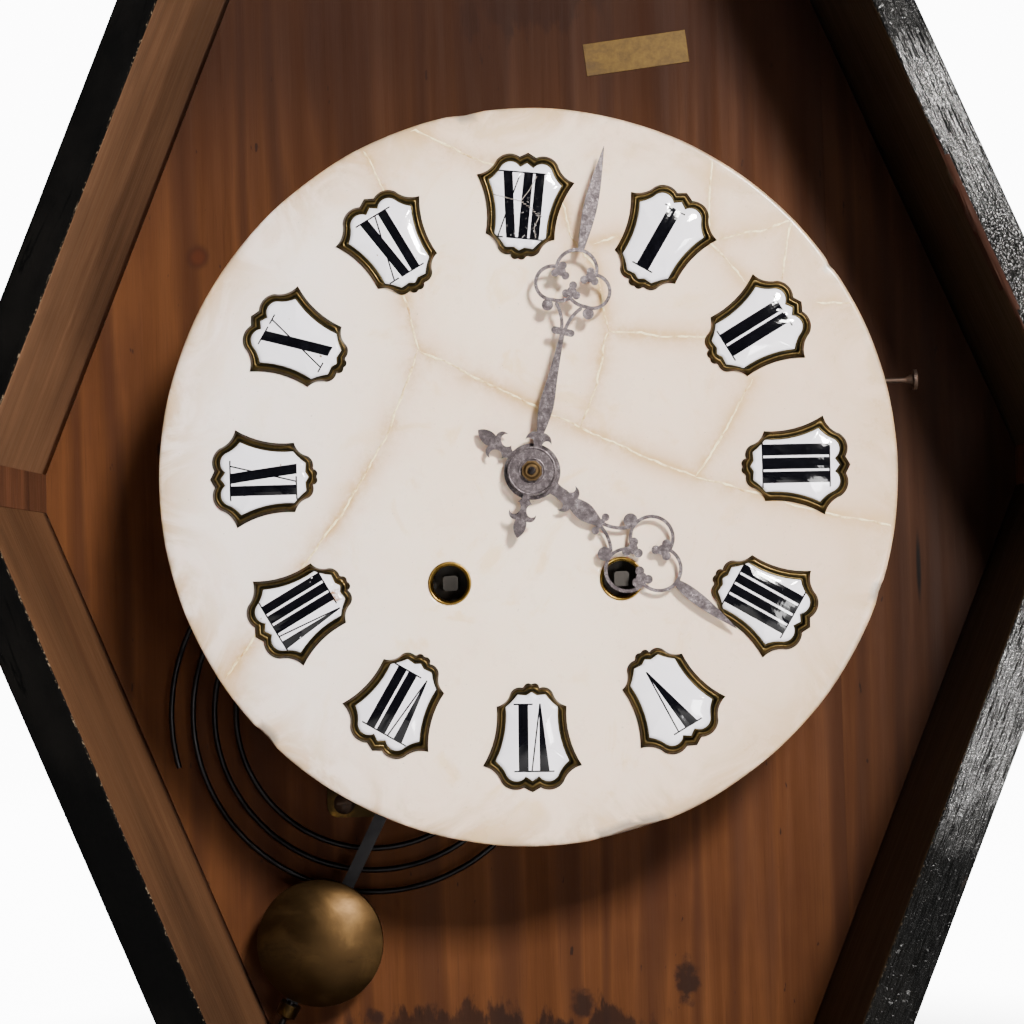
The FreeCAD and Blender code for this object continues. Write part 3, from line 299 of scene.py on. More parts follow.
# Places on the back boards in mm: x, z, then size, raggedness and height to width.
KNOT = (-150.8, 107.1)
SPLIT = (168.5, -42.0, 1.4, 0.0, 14.0)
STAINS = [(60.0, -224.0, 6.0, 14.0, 2.4), (14.0, -232.0, 7.0, 12.0, 1.2), (90.0, 120.0, 2.0, 2.0, 2.0),
          (-170.0, 20.0, 2.0, 2.0, 3.0), (-80.0, -236.0, 5.0, 9.0, 1.0)]
# Damp in mm: the height where it starts, the height where it is full, and its left and right.
DAMP = [(205.0, 214.0, -15.0, 34.0), (-232.0, -239.0, -95.0, 45.0)]


def stained_pine(name, seed):
    """The back boards: wide flame grain, a knot and a split; the stain, the damp, a darkening towards the top
    and a painted shadow of the right-hand walls are on the front alone.
    """
    paint = Paint(name, Specular_IOR_Level=0.12)
    shift = (seed, 0, seed * 0.4)
    rings = paint.waves(13, paint.mapped((1, 1, 0.10), 0.0, shift), 14.0, 4.0)
    streaks = paint.grain(90, 6, 0.65, 0.035, 0.0, shift, warp=0.4)
    fibres = paint.grain(1100, 4, 0.7, 0.02)
    blotches = paint.grain(7, 5, 0.62, 0.7, 0.0, shift)
    specks = paint.grain(330, 2, 0.5, 0.3)
    drips = paint.minus(paint.grain(75, 7, 0.62, 0.35), 0.5)
    face = paint.band(paint.axis("Y"), -4 * MM, -7 * MM)
    side, height = paint.axis("X"), paint.axis("Z")
    level = paint.plus(height, paint.times(drips, 75 * MM))
    across = paint.plus(side, paint.times(drips, 90 * MM))
    base = paint.ramp(rings, (0.0, tint(82, 47, 22)), (0.5, tint(90, 53, 26)), (1.0, tint(68, 38, 18)))
    base = paint.layers(
        base,
        (paint.band(streaks, 0.35, 0.7, 0.0, 0.55), tint(60, 32, 15)),
        (paint.band(fibres, 0.5, 0.8, 0.0, 0.4), tint(44, 21, 9)),
        (paint.band(blotches, 0.40, 0.70, 0.0, 0.6), tint(48, 22, 9)),
        (paint.band(specks, 0.72, 0.78), tint(38, 22, 15)))
    for low, high, left, right in DAMP:
        soaked = paint.times(face, paint.band(blotches, 0.3, 0.6, 0.95, 0.7),
                             paint.band(level, low * MM, high * MM),
                             paint.band(across, (left - 8) * MM, (left + 6) * MM),
                             paint.band(across, (right + 8) * MM, (right - 6) * MM))
        base = paint.mix(soaked, base, tint(30, 16, 11))
    base = paint.layers(
        base,
        (paint.near(*KNOT, 6.5, 2.0, 1.1), tint(50, 25, 13)),
        (paint.near(*KNOT, 4.6, 1.5, 1.1), tint(70, 33, 15)),
        # darker towards the top
        (paint.times(face, paint.band(height, 80 * MM, 210 * MM, 0.0, 0.85)), tint(36, 16, 6)),
        # painted shadow of the right-hand walls: darker towards the right
        (paint.times(face, paint.band(side, 90 * MM, 190 * MM, 0.0, 0.8)), tint(26, 13, 7)),
        (paint.times(paint.minus(1.0, face), 0.55), tint(104, 78, 54)),
        *[(paint.near(*spot), tint(40, 22, 14)) for spot in STAINS],
        (paint.near(*SPLIT), tint(14, 8, 6)))
    paint.put(base, "Base_Color")
    paint.put(paint.band(streaks, 0.3, 0.7, 0.62, 0.8), "Roughness")
    paint.bump(rings, 0.25, 0.3, paint.bump(fibres, 0.15, 0.5))
    return paint.material


def alabaster():
    """Warm white polished stone, yellower at its edge and beside its mended cracks, where it drank oil;
    lighter to the left and darker to the right in painted light and shade.
    """
    paint = Paint("alabaster_polished", Subsurface_Weight=0.12, Subsurface_Scale=0.002, Coat_Weight=0.25,
                  Coat_Roughness=0.12)
    clouds = paint.noise(11, 6, 0.6, warp=1.2)
    veins = paint.noise(26, 7, 0.62, warp=2.5)
    grime = paint.noise(60, 6, 0.7)
    pits = paint.noise(900, 2, 0.5)
    across = paint.axis("X")
    base = paint.layers(
        paint.ramp(clouds, (0.3, tint(255, 232, 211)), (0.7, tint(252, 222, 197))),
        (paint.band(veins, 0.54, 0.68, 0.0, 0.6), tint(240, 208, 156)),
        # painted light and shade across the disc: darker and warmer towards the right, lighter towards the
        # left
        (paint.band(across, -20 * MM, 150 * MM, 0.0, 0.8), tint(218, 186, 156)),
        (paint.band(across, -110 * MM, -30 * MM, 0.6, 0.0), tint(255, 244, 242)),
        (paint.times(paint.painted("edge"), paint.band(veins, 0.36, 0.60, 0.3, 1.0)), tint(200, 166, 122)),
        (paint.times(paint.painted("stain"), paint.band(grime, 0.30, 0.62, 0.25, 1.0)), tint(204, 164, 112)),
        (paint.times(paint.painted("dirt"), paint.band(grime, 0.34, 0.6)), tint(150, 128, 106)),
        (paint.times(paint.painted("broken"), paint.band(grime, 0.2, 0.5, 0.6, 1.0)), tint(150, 134, 118)),
        (paint.band(pits, 0.72, 0.8, 0.0, 0.5), tint(150, 128, 104)))
    paint.put(base, "Base_Color")
    paint.put(paint.band(grime, 0.3, 0.7, 0.24, 0.42), "Roughness")
    paint.bump(clouds, 0.5, 0.12, paint.bump(pits, 0.03, 0.4))
    return paint.material


def glue():
    paint = Paint("crack_glue", Roughness=0.45)
    tone = paint.noise(240, 4, 0.6)
    paint.put(paint.ramp(tone, (0.3, tint(186, 134, 66)), (0.58, tint(255, 238, 186))), "Base_Color")
    paint.bump(tone, 0.05, 0.5)
    return paint.material


def crack_dirt():
    paint = Paint("crack_dirt", Roughness=0.6)
    dust = paint.noise(600, 3)
    paint.put(paint.ramp(dust, (0.3, tint(70, 62, 56)), (0.7, tint(150, 140, 132))), "Base_Color")
    return paint.material


def enamel():
    """Glossy white glass on copper, with faint waviness and a few brown specks."""
    paint = Paint("enamel_white", Roughness=0.07, Coat_Weight=0.6, Coat_Roughness=0.03)
    waviness = paint.noise(70, 3)
    specks = paint.noise(420, 2, 0.4)
    base = paint.ramp(waviness, (0.3, tint(252, 248, 255)), (0.7, tint(244, 241, 250)))
    base = paint.mix(paint.band(specks, 0.765, 0.79), base, tint(120, 92, 60))
    rust = paint.times(paint.painted("rust"), paint.band(paint.noise(500, 4), 0.35, 0.6))
    paint.put(paint.mix(rust, base, tint(150, 104, 62)), "Base_Color")
    paint.bump(waviness, 0.25, 0.15)
    return paint.material


def numeral_black():
    paint = Paint("numeral_black", Roughness=0.08, Specular_IOR_Level=0.3)
    tone = paint.noise(300, 4)
    base = paint.ramp(tone, (0.3, tint(5, 5, 8)), (0.75, tint(13, 13, 18)))
    flaked = paint.times(paint.painted("flaked"), paint.band(paint.noise(520, 5, 0.75), 0.60, 0.64))
    paint.put(paint.mix(flaked, base, tint(190, 186, 184)), "Base_Color")
    paint.bump(tone, 0.03, 0.3)
    return paint.material


def aged_brass(name, dull, bright, shine, spots=0.0, rough=0.3, bare_clouds=0.55):
    """Brass under a dark skin. The skin is thin where the mesh says worn, and in cloudy patches."""
    paint = Paint(name, Metallic=1.0)
    clouds = paint.noise(55, 6, 0.62, warp=0.8)
    fine = paint.noise(800, 4, 0.6)
    patches = paint.noise(26, 7, 0.7, warp=0.6)
    bare = paint.plus(paint.band(clouds, 0.40, 0.68, 0.0, bare_clouds),
                      paint.times(paint.painted("worn"), paint.band(fine, 0.2, 0.55, 0.5, 1.0)))
    paint.put(paint.layers(dull, (paint.band(bare, 0.0, 1.0), bright),
                           (paint.band(patches, 0.56, 0.72, 0.0, spots), tint(30, 22, 17))), "Base_Color")
    skin = paint.band(patches, 0.4, 0.7, rough, rough + 0.25)
    paint.put(paint.minus(skin, paint.times(bare, shine)), "Roughness")
    paint.bump(clouds, 0.25, 0.25, paint.bump(fine, 0.04, 0.5))
    return paint.material


ARBOR_R = 4.2                   # mm, how far from the hands' axis the arbor's colour reaches


def brushed(name, colour, shade, rough, core=None):
    """Metal with fine upright draw marks and a little tarnish; core colours an arbor on the hands' axis."""
    paint = Paint(name, Metallic=1.0)
    marks = paint.grain(1600, 4, 0.6, 0.03)
    clouds = paint.noise(45, 5, 0.6, warp=0.5)
    base = paint.layers(colour, (paint.band(clouds, 0.38, 0.66, 0.0, 0.75), shade),
                        (paint.band(marks, 0.4, 0.8, 0.0, 0.3), shade))
    if core:
        base = paint.mix(paint.near(0.0, 0.0, ARBOR_R), base, core)
    paint.put(base, "Base_Color")
    paint.put(paint.band(marks, 0.3, 0.7, rough - 0.07, rough + 0.1), "Roughness")
    paint.bump(marks, 0.02, 0.5)
    return paint.material


def engraved_steel():
    """The hands: blued steel rubbed back to grey, mottled, and cut with small scrolls."""
    paint = Paint("engraved_steel", Metallic=0.8)
    mottle = paint.noise(380, 6, 0.68)
    scratch = paint.grain(2400, 3, 0.6, 0.08, math.radians(-14.0))
    scrolls = paint.waves(330, paint.mapped((1, 1, 1)), 9.0, 2.0, "RINGS")
    base = paint.ramp(mottle, (0.32, tint(46, 40, 42)), (0.50, tint(84, 76, 78)), (0.72, tint(150, 139, 141)))
    cut = paint.band(scrolls, 0.10, 0.26, 1.0, 0.0)
    paint.put(paint.mix(paint.times(cut, 0.4), base, tint(40, 34, 36)), "Base_Color")
    paint.put(paint.band(mottle, 0.3, 0.7, 0.42, 0.26), "Roughness")
    paint.bump(mottle, 0.22, 0.7, paint.bump(scratch, 0.04, 0.6))
    return paint.material


def gilt_paper():
    paint = Paint("gilt_paper", Metallic=0.2, Roughness=0.55, Specular_IOR_Level=0.2)
    creases = paint.noise(240, 5, 0.7)
    rubbed = paint.noise(90, 5, 0.7, paint.mapped((0.3, 1, 1)))
    base = paint.ramp(creases, (0.3, tint(64, 45, 10)), (0.65, tint(90, 67, 18)))
    paint.put(paint.mix(paint.band(rubbed, 0.52, 0.7, 0.0, 0.7), base, tint(60, 42, 20)), "Base_Color")
    paint.bump(creases, 0.15, 0.5)
    return paint.material


def dull_iron():
    paint = Paint("dull_iron", Metallic=0.8)
    scale = paint.noise(220, 6, 0.7)
    paint.put(paint.ramp(scale, (0.35, tint(48, 43, 40)), (0.7, tint(80, 57, 42))), "Base_Color")
    paint.put(paint.band(scale, 0.3, 0.7, 0.42, 0.75), "Roughness")
    paint.bump(scale, 0.15, 0.6)
    return paint.material


CLOCK_BRASS = (tint(214, 172, 92), tint(168, 124, 60))


def make_materials():
    """The finish of each of the record's slots, for the CAD nodes that stay in view."""
    return {
        "plain_wood": brown_wood("plain_wood", 0.0, tint(92, 58, 36), tint(128, 84, 52), 0.3),
        "iron": dull_iron(),
        "label": gilt_paper(),
        "dark_brass": aged_brass("dark_brass", tint(44, 34, 19), tint(136, 102, 50), 0.12, 0.6),
        "enamel": enamel(),
        "alabaster": alabaster(),
        "hand_steel": engraved_steel(),
        "dark_steel": brushed("dark_steel", tint(46, 45, 46), tint(24, 23, 24), 0.36),
        "movement_brass": brushed("movement_brass", *CLOCK_BRASS, 0.3),
        "movement_steel": brushed("movement_steel", tint(150, 150, 154), tint(96, 94, 96), 0.34),
    }


# ---------------------------------------------------------------- small tools for meshes

MERGE = 0.002                   # mm, how near two points are to be one
SHARP = 32.0                    # degrees, the least angle of an edge that is rounded


def cad_mesh(node):
    """A copy of a CAD node's mesh in mm, with its doubled points joined and its flat faces whole."""
    bm = bmesh.new()
    bm.from_mesh(frame["nodes"][node].data)
    bmesh.ops.scale(bm, vec=(1 / MM,) * 3, verts=bm.verts)
    bmesh.ops.remove_doubles(bm, verts=bm.verts, dist=MERGE)
    bmesh.ops.dissolve_limit(bm, angle_limit=math.radians(0.4), verts=bm.verts, edges=bm.edges)
    bmesh.ops.recalc_face_normals(bm, faces=bm.faces)
    return bm


def placed(name, data):
    """A new object in the scene."""
    made = bpy.data.objects.new(name, data)
    bpy.context.scene.collection.objects.link(made)
    return made


def piece_from(bm, name, body, materials, replaces=(), smooth=True):
    """An object from a bmesh in mm, riding on a body."""
    bmesh.ops.recalc_face_normals(bm, faces=bm.faces)
    bmesh.ops.scale(bm, vec=(MM,) * 3, verts=bm.verts)
    for face in bm.faces:
        face.smooth = smooth
    mesh = bpy.data.meshes.new(name)
    bm.to_mesh(mesh)
    bm.free()
    for material in materials:
        mesh.materials.append(material)
    made = placed(name, mesh)
    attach(made, body)
    if replaces:
        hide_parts(*replaces)
    return made


def softened(thing, width, segments=2):
    """Rounds a piece's edges by width mm, and shades its flats as flats."""
    bevel = thing.modifiers.new("edges", "BEVEL")
    bevel.width = width * MM
    bevel.segments = segments
    bevel.limit_method = "ANGLE"
    bevel.angle_limit = math.radians(SHARP)
    bevel.use_clamp_overlap = True
    shade = thing.modifiers.new("shading", "WEIGHTED_NORMAL")
    shade.keep_sharp = False
    return thing


def stand_in(node, material, bevel, segments=2):
    """A piece with the CAD node's own shape and softened edges, in place of the node."""
    body = frame["nodes"][node]["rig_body"]
    made = piece_from(cad_mesh(node), node + "_look", body, [material], [node])
    return softened(made, bevel, segments)


def mark(thing, name, numbers):
    """Stores one number per point for the material to read."""
    attribute = thing.data.attributes.new(name, "FLOAT", "POINT")
    attribute.data.foreach_set("value", numbers)


def skin(bm, rings, ends=False, around=False):
    """Quads between neighbouring rings; with flat ends, or with the last ring joined to the first."""
    rows = [[bm.verts.new(p) for p in ring] for ring in rings]
    for low, high in zip(rows, rows[1:] + rows[:1] if around else rows[1:]):
        count = len(low)
        for n in range(count):
            m = (n + 1) % count
            bm.faces.new((low[n], low[m], high[m], high[n]))
    if ends:
        bm.faces.new(rows[0])
        bm.faces.new(rows[-1])
    return rows


def fan(bm, row, tip):
    """Closes a ring of vertices with triangles to a tip."""
    point = bm.verts.new(tip)
    for n in range(len(row)):
        bm.faces.new((row[n], row[(n + 1) % len(row)], point))


def circle(x, z, r, y, sides):
    turns = [2 * math.pi * k / sides for k in range(sides)]
    return [(x + r * math.cos(a), y, z + r * math.sin(a)) for a in turns]


def in_mm(box):
    """The low and high corners of a CAD box, given in metres."""
    return [Vector(corner) / MM for corner in box]


def uneven(x, y, z):
    """Smooth noise, about -1 to 1."""
    return noise.noise(Vector((x, y, z)))


def islands(bm):
    """The separate solids of a mesh, as lists of vertices."""
    left = set(bm.verts)
    found = []
    while left:
        seed = left.pop()
        group = [seed]
        stack = [seed]
        while stack:
            for edge in stack.pop().link_edges:
                for other in edge.verts:
                    if other in left:
                        left.remove(other)
                        group.append(other)
                        stack.append(other)
        found.append(group)
    return found


def distance_to(points, x, z):
    """How far a place is from an open line of (x, z) points."""
    best = 1e9
    for (ax, az), (bx, bz) in zip(points, points[1:]):
        dx, dz = bx - ax, bz - az
        share = max(0.0, min(1.0, ((x - ax) * dx + (z - az) * dz) / (dx * dx + dz * dz)))
        best = min(best, math.hypot(x - ax - share * dx, z - az - share * dz))
    return best


# ---------------------------------------------------------------- case

WALL_STEP = 2.5                 # mm between a wall's cross sections
EDGE_R = 0.9                    # mm, the front edges' rounding
WEAR_IN = 1.5                   # mm, how far from an edge it is worn
TORN = (0.18, 0.46)             # the stretch of the upper right wall where veneer has split away
TORN_IN = 3.4                   # mm, how far across the front it has split
TORN_BACK = 7.0                 # mm, how far back from the front
TORN_SINK = 2.2                 # mm, the deepest the splinters are sunk


def case_middle():
    low, high = in_mm(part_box("back_board_left"))[0], in_mm(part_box("back_board_right"))[1]
    return Vector(((low.x + high.x) / 2, 0, (low.z + high.z) / 2))


def wall_corners(node):
    """The wall's inner and outer corners at its lower end, and then at its upper end, in mm."""
    bm = cad_mesh(node)
    front = min(v.co.y for v in bm.verts)
    back = max(v.co.y for v in bm.verts)
    corners = [v.co.copy() for v in bm.verts if v.co.y < front + 0.01]
    bm.free()
    pairs = [(a, b) for a in corners for b in corners]
    outer = sorted(max(pairs, key=lambda p: (p[0] - p[1]).length), key=lambda c: (round(c.z), c.x))
    inner = [min((c for c in corners if c not in outer), key=lambda c: (c - o).length) for o in outer]
    return (inner[0], outer[0]), (inner[1], outer[1]), front, back


def wall_profile(thick, deep):
    """The section as (across from the inside, depth from the front), from the inner back edge round."""
    turns = 5
    arc = [math.pi / 2 * n / turns for n in range(turns + 1)]
    points = [(0.0, deep - deep * n / 12) for n in range(12)]
    points += [(EDGE_R - EDGE_R * math.cos(a), EDGE_R - EDGE_R * math.sin(a)) for a in arc]
    columns = round(thick / 1.6)
    points += [(EDGE_R + (thick - 2 * EDGE_R) * n / columns, 0.0) for n in range(1, columns)]
    points += [(thick - EDGE_R + EDGE_R * math.sin(a), EDGE_R - EDGE_R * math.cos(a)) for a in arc]
    points += [(thick, deep * n / 8) for n in range(1, 9)]
    return points


def torn_share(t, torn):
    """How fully a wall is torn at t along it: 0 outside the torn stretch, 1 in its middle."""
    if not torn or not torn[0] < t < torn[1]:
        return 0.0
    return math.sin(math.pi * (t - torn[0]) / (torn[1] - torn[0])) ** 0.6


def wall(node, black, brown, bare, torn=None):
    """A mitred wall with worn, slightly uneven front edges, black outside and brown inside."""
    (inner_a, outer_a), (inner_b, outer_b), front, back = wall_corners(node)
    along = (outer_b - outer_a).normalized()
    middle = case_middle()
    outward = Vector((along.z, 0, -along.x))
    if outward.dot(outer_a - middle) < 0:
        outward.negate()
    thick = (outer_a - inner_a).dot(outward)
    steps = round((outer_b - outer_a).length / WALL_STEP)
    profile = wall_profile(thick, back - front)
    rings = []
    rub = []
    for n in range(steps + 1):
        t = n / steps
        ends = torn_share(t, torn)
        ring = []
        for across, depth in profile:
            share = across / thick
            low = inner_a.lerp(outer_a, share)
            high = inner_b.lerp(outer_b, share)
            point = low.lerp(high, t)
            edge = max(0.0, 1 - min(across, thick - across) / WEAR_IN) * max(0.0, 1 - depth / WEAR_IN)
            wear = max(0.0, noise.noise(point * 0.11)) * 0.7 + max(0.0, noise.noise(point * 0.5)) * 0.35
            sink = edge * wear + 0.10 * max(0.0, noise.noise(point * 0.9)) * (depth < 0.01)
            if ends:
                coarse = uneven(t * 40, 0, 0)
                fine = uneven(t * 170, 3, 0)
                reach = TORN_IN * ends * (0.75 + 0.5 * coarse + 0.3 * fine)
                gone = max(0.0, 1 - across / max(reach, 0.01)) * max(0.0, 1 - depth / TORN_BACK)
                splinter = 0.5 + 0.5 * abs(uneven(across * 2.0, depth * 2.5, t * 22))
                sink += TORN_SINK * gone * splinter
            ring.append((point.x, front + depth + sink, point.z))
            rub.append(1.0 if across < EDGE_R and depth < EDGE_R else 0.0)
        rings.append(ring)
    bm = bmesh.new()
    skin(bm, rings, ends=True)
    bmesh.ops.recalc_face_normals(bm, faces=bm.faces)
    for face in bm.faces:
        place = face.calc_center_median()
        across = (place - inner_a).dot(outward)
        t = (place - outer_a).dot(along) / (outer_b - outer_a).length
        ends = torn_share(t, torn)
        inside = face.normal.dot(outward) < -0.75
        face.material_index = 1 if inside else 0
        if across < TORN_IN * 0.8 * ends and place.y - front < TORN_BACK * ends:
            face.material_index = 2
    made = piece_from(bm, node + "_look", "case", [black, brown, bare], [node])
    mark(made, "rub", rub)


VARNISH = {"wall_upper_right": 1.6, "wall_lower_right": 2.1}  # the IOR of the crazed varnish
# The wood inside the walls, darker and lighter, with light and shade painted in: the left-hand walls are
# painted lit, the upper one more, and all the others are painted in shade.
INSIDE_SHADED = (tint(46, 33, 20), tint(60, 45, 28))
INSIDE_LIT_TONES = {"wall_upper_left": (tint(110, 76, 52), tint(142, 104, 76)),
                "wall_lower_left": (tint(84, 55, 35), tint(108, 76, 51))}


def case_pieces(slots):
    turns = {}
    for node in ("wall_upper_right", "wall_lower_right", "wall_bottom",
                 "wall_lower_left", "wall_upper_left", "wall_top"):
        (_, low), (_, high), _, _ = wall_corners(node)
        run = high - low
        turns[node] = math.atan2(-run.x, run.z)
    bare = brown_wood("torn_wood", turns["wall_upper_right"], tint(34, 17, 10), tint(78, 40, 24), 0.9, 0.7)
    for seed, (node, turn) in enumerate(turns.items()):
        black = ebonised("ebonised_" + node, turn, VARNISH.get(node, 0.0))
        # painted lit tones on the left-hand walls, painted shade on all the others
        dark, light = INSIDE_LIT_TONES.get(node, INSIDE_SHADED)
        brown = brown_wood("inside_" + node, turn, dark, light, 0.37 * seed)
        torn = TORN if node == "wall_upper_right" else None
        wall(node, black, brown, bare, torn)
    block_wood = brown_wood("glue_block_wood", 0.0, tint(66, 38, 25), tint(112, 70, 46), 0.21)
    stand_in("corner_blocks", block_wood, 0.6)
    for n, side in enumerate(("left", "middle", "right")):
        board = stand_in("back_board_" + side, stained_pine("pine_" + side, 0.35 * n), 0.35)
        board.name = "board_" + side
    stand_in("label", slots["label"], 0.1)


# ---------------------------------------------------------------- dial

DIAL_RINGS = 56
DIAL_SEGMENTS = 360
RIM_ROUND = 1.2                 # mm, as the next five are
RIM_UNEVEN = 0.25               # how unevenly the rim is worn
CHIP_BACK = 5.5                 # how far behind the front a chip ends
CENTRE_HOLE_R = 7.0
KEY_HOLE_R = 8.2
FERRULE_R = 8.8
# The mended cracks as lines of (x, z) in mm.
CRACKS = [
    [(-47, 143), (-31, 134), (-16, 127), (-6, 124)],
    [(-66, 135), (-58, 118), (-52, 96), (-50, 73), (-45, 51)],
    [(-45, 51), (-57, 20), (-76, -12), (-93, -34), (-113, -62), (-127, -80)],
    [(-45, 51), (-18, 37), (20, 17.5), (46, 4.5), (66, -3.5)],
    [(66, -3.5), (90, -11), (118, -20), (146, -26)],
    [(66, -3.5), (79, 15.5), (90, 35)],
    [(20, 17.5), (27, 35.5), (30.5, 52), (32.5, 56.5)],
    [(32.5, 56.5), (52, 54), (75, 52.5)],
    [(32.5, 56.5), (28, 82), (18.5, 95), (15, 110)],
    [(27, 92.5), (37.5, 94.5)],
    [(77, 131), (75, 111), (74, 92), (89, 74)],
    [(79, 92.5), (95, 95), (110, 100)],
    [(110, 103), (105.5, 90), (103, 75)],
    [(116, 65), (137, 65)],
]
CRACK_STOP = 1.8                # mm, how far inside the dial's edge the mends end
# Chips in the dial's rim: degrees anticlockwise from +X, half width in degrees, depth in mm.
CHIPS = [(-75.4, 6.0, 2.4), (-136.5, 2.0, 1.6), (-20.0, 1.5, 0.8), (98.0, 2.5, 1.0), (33.0, 1.2, 0.9)]


def chip_at(degrees):
    deepest = 0.0
    for middle, half, depth in CHIPS:
        off = abs((degrees - middle + 180) % 360 - 180) / half
        if off < 1:
            ragged = 0.75 + 0.5 * uneven(degrees * 1.1, depth, 0)
            deepest = max(deepest, depth * (1 - off * off) * ragged)
    return deepest


def dial_disc(material):
    """The stone disc, with a rounded and chipped rim, and holes for the hands and the two keys."""
    low, high = in_mm(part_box("dial"))
    centre = (low + high) / 2
    radius = (high.x - low.x) / 2
    front, back = low.y, high.y
    bm = bmesh.new()
    rings = []
    flat = radius - RIM_ROUND - 0.4
    for n in range(1, DIAL_RINGS + 1):
        rings.append((flat * n / DIAL_RINGS, front, n / DIAL_RINGS))
    for n in range(1, 6):
        a = math.pi / 2 * n / 5
        r = radius - RIM_ROUND + RIM_ROUND * math.sin(a)
        rings.append((r, front + RIM_ROUND * (1 - math.cos(a)), 1.0))
    rings += [(radius, front + 4.0, 1.0), (radius, back - 0.6, 1.0), (radius - 0.6, back, 1.0)]
    rings += [(flat * n / 8, back, 0.0) for n in range(7, 0, -1)]
    rows = []
    for ring_r, y, rim in rings:
        row = []
        for k in range(DIAL_SEGMENTS):
            degrees = 360 * k / DIAL_SEGMENTS
            a = math.radians(degrees)
            chip = chip_at(degrees)
            worn_in = RIM_UNEVEN * (0.5 + uneven(math.cos(a) * 6, math.sin(a) * 6, 1))
            r = ring_r
            depth = y
            if rim > 0.95:
                r = ring_r - worn_in
                if chip:
                    near_front = max(0.0, 1 - (y - front) / CHIP_BACK)
                    r = r - chip * near_front
                    depth = y + chip * 0.35 * near_front * (ring_r > flat - chip)
            row.append((centre.x + r * math.cos(a), depth, centre.z + r * math.sin(a)))
        rows.append(row)
    made = skin(bm, rows)
    for row, y in ((made[0], front), (made[-1], back)):
        fan(bm, row, (centre.x, y, centre.z))
    disc = piece_from(bm, "alabaster_disc", "case", [material], ["dial"])
    left, right = in_mm(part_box("winding_ferrules"))
    key_x, key_z = right.x - FERRULE_R, (left.z + right.z) / 2
    cutter = bmesh.new()
    for x, z, r in ((0.0, 0.0, CENTRE_HOLE_R), (-key_x, key_z, KEY_HOLE_R), (key_x, key_z, KEY_HOLE_R)):
        skin(cutter, [circle(x, z, r, y, 64) for y in (front - 2, back + 2)], ends=True)
    bmesh.ops.recalc_face_normals(cutter, faces=cutter.faces)
    bore(disc, cutter)
    paint_dial(disc, centre, radius)


def bore(thing, cutter_mesh):
    """Cuts the cutter's shape, in mm, out of a piece for good."""
    bmesh.ops.scale(cutter_mesh, vec=(MM,) * 3, verts=cutter_mesh.verts)
    mesh = bpy.data.meshes.new("cutter")
    cutter_mesh.to_mesh(mesh)
    cutter_mesh.free()
    cutter = placed("cutter", mesh)
    cut = thing.modifiers.new("cut", "BOOLEAN")
    cut.operation = "DIFFERENCE"
    cut.solver = "EXACT"
    cut.object = cutter
    graph = bpy.context.evaluated_depsgraph_get()
    result = bpy.data.meshes.new_from_object(thing.evaluated_get(graph))
    thing.modifiers.remove(cut)
    old = thing.data
    thing.data = result
    bpy.data.meshes.remove(old)
    bpy.data.objects.remove(cutter)
    bpy.data.meshes.remove(mesh)


EDGE_STAIN = 34.0               # mm, how wide a band the rim's stain fills


def paint_dial(disc, centre, radius):
    """Where the stone is stained: by its rim, beside the cracks, and where it is chipped."""
    edge, stain, dirt, broken = [], [], [], []
    for vertex in disc.data.vertices:
        x, z = vertex.co.x / MM, vertex.co.z / MM
        r = math.hypot(x - centre.x, z - centre.z)
        turn = math.degrees(math.atan2(z - centre.z, x - centre.x))
        off = min(distance_to(line, x, z) for line in CRACKS)
        edge.append(max(0.0, (r - radius + EDGE_STAIN) / EDGE_STAIN) ** 2.2)
        stain.append(math.exp(-off / 3.2) + 0.3 * math.exp(-off / 14))
        dirt.append(max(0.0, 1 - (radius - r) / 2.5))
        chip = chip_at(turn)
        broken.append(1.0 if chip > 0.3 and radius - r < chip + 2.0 else 0.0)
    for name, numbers in (("edge", edge), ("stain", stain), ("dirt", dirt), ("broken", broken)):
        mark(disc, name, numbers)


def crack_lines(material):
    """Low ridges of glue that follow each mended crack, uneven in width and way."""
    low, high = in_mm(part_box("dial"))
    centre = (low + high) / 2
    reach = (high.x - low.x) / 2 - CRACK_STOP
    bm = bmesh.new()
    for number, line in enumerate(CRACKS):
        spine = []
        for a, b in zip(line, line[1:]):
            steps = max(2, round(math.dist(a, b) / 1.6))
            for n in range(steps):
                spine.append((a[0] + (b[0] - a[0]) * n / steps, a[1] + (b[1] - a[1]) * n / steps))
        spine.append(line[-1])
        rings = []
        for n, (x, z) in enumerate(spine):
            ax, az = spine[max(0, n - 1)]
            bx, bz = spine[min(len(spine) - 1, n + 1)]
            length = math.dist((ax, az), (bx, bz))
            nx, nz = (bz - az) / length, (ax - bx) / length
            sway = 0.9 * uneven(x * 0.10, z * 0.10, number)
            sway += 0.45 * uneven(x * 0.5, z * 0.5, number)
            half = 0.5 + 0.34 * uneven(x * 0.3, z * 0.3, number + 9)
            end = min(n, len(spine) - 1 - n)
            half = max(0.05, half * min(1.0, 0.3 + end * 0.35))
            cx, cz = x + nx * sway, z + nz * sway
            inward = min(1.0, reach / math.dist((cx, cz), (centre.x, centre.z)))
            cx = centre.x + (cx - centre.x) * inward
            cz = centre.z + (cz - centre.z) * inward
            section = ((-half, 0.05), (-half / 2, -0.05), (half / 2, -0.05), (half, 0.05))
            rings.append([(cx + nx * off, low.y + sunk, cz + nz * off) for off, sunk in section])
        skin(bm, rings, ends=True)
    piece_from(bm, "crack_mends", "case", [material])


# ---------------------------------------------------------------- numerals

# Each numeral, clockwise from the top, and the width of its bars in mm.
NUMERALS = {"XII": 3.8, "I": 5.4, "II": 4.7, "III": 4.6, "IIII": 3.6, "V": 5.8, "VI": 4.0, "VII": 3.8,
            "VIII": 3.6, "IX": 4.1, "X": 4.3, "XI": 3.8}
PLAQUE_FOOT = 18.6              # mm from a plaque's own centre down to its pointed foot
NUMERAL_HEIGHT = (-14.0, 13.5)  # mm from the plaque's own centre
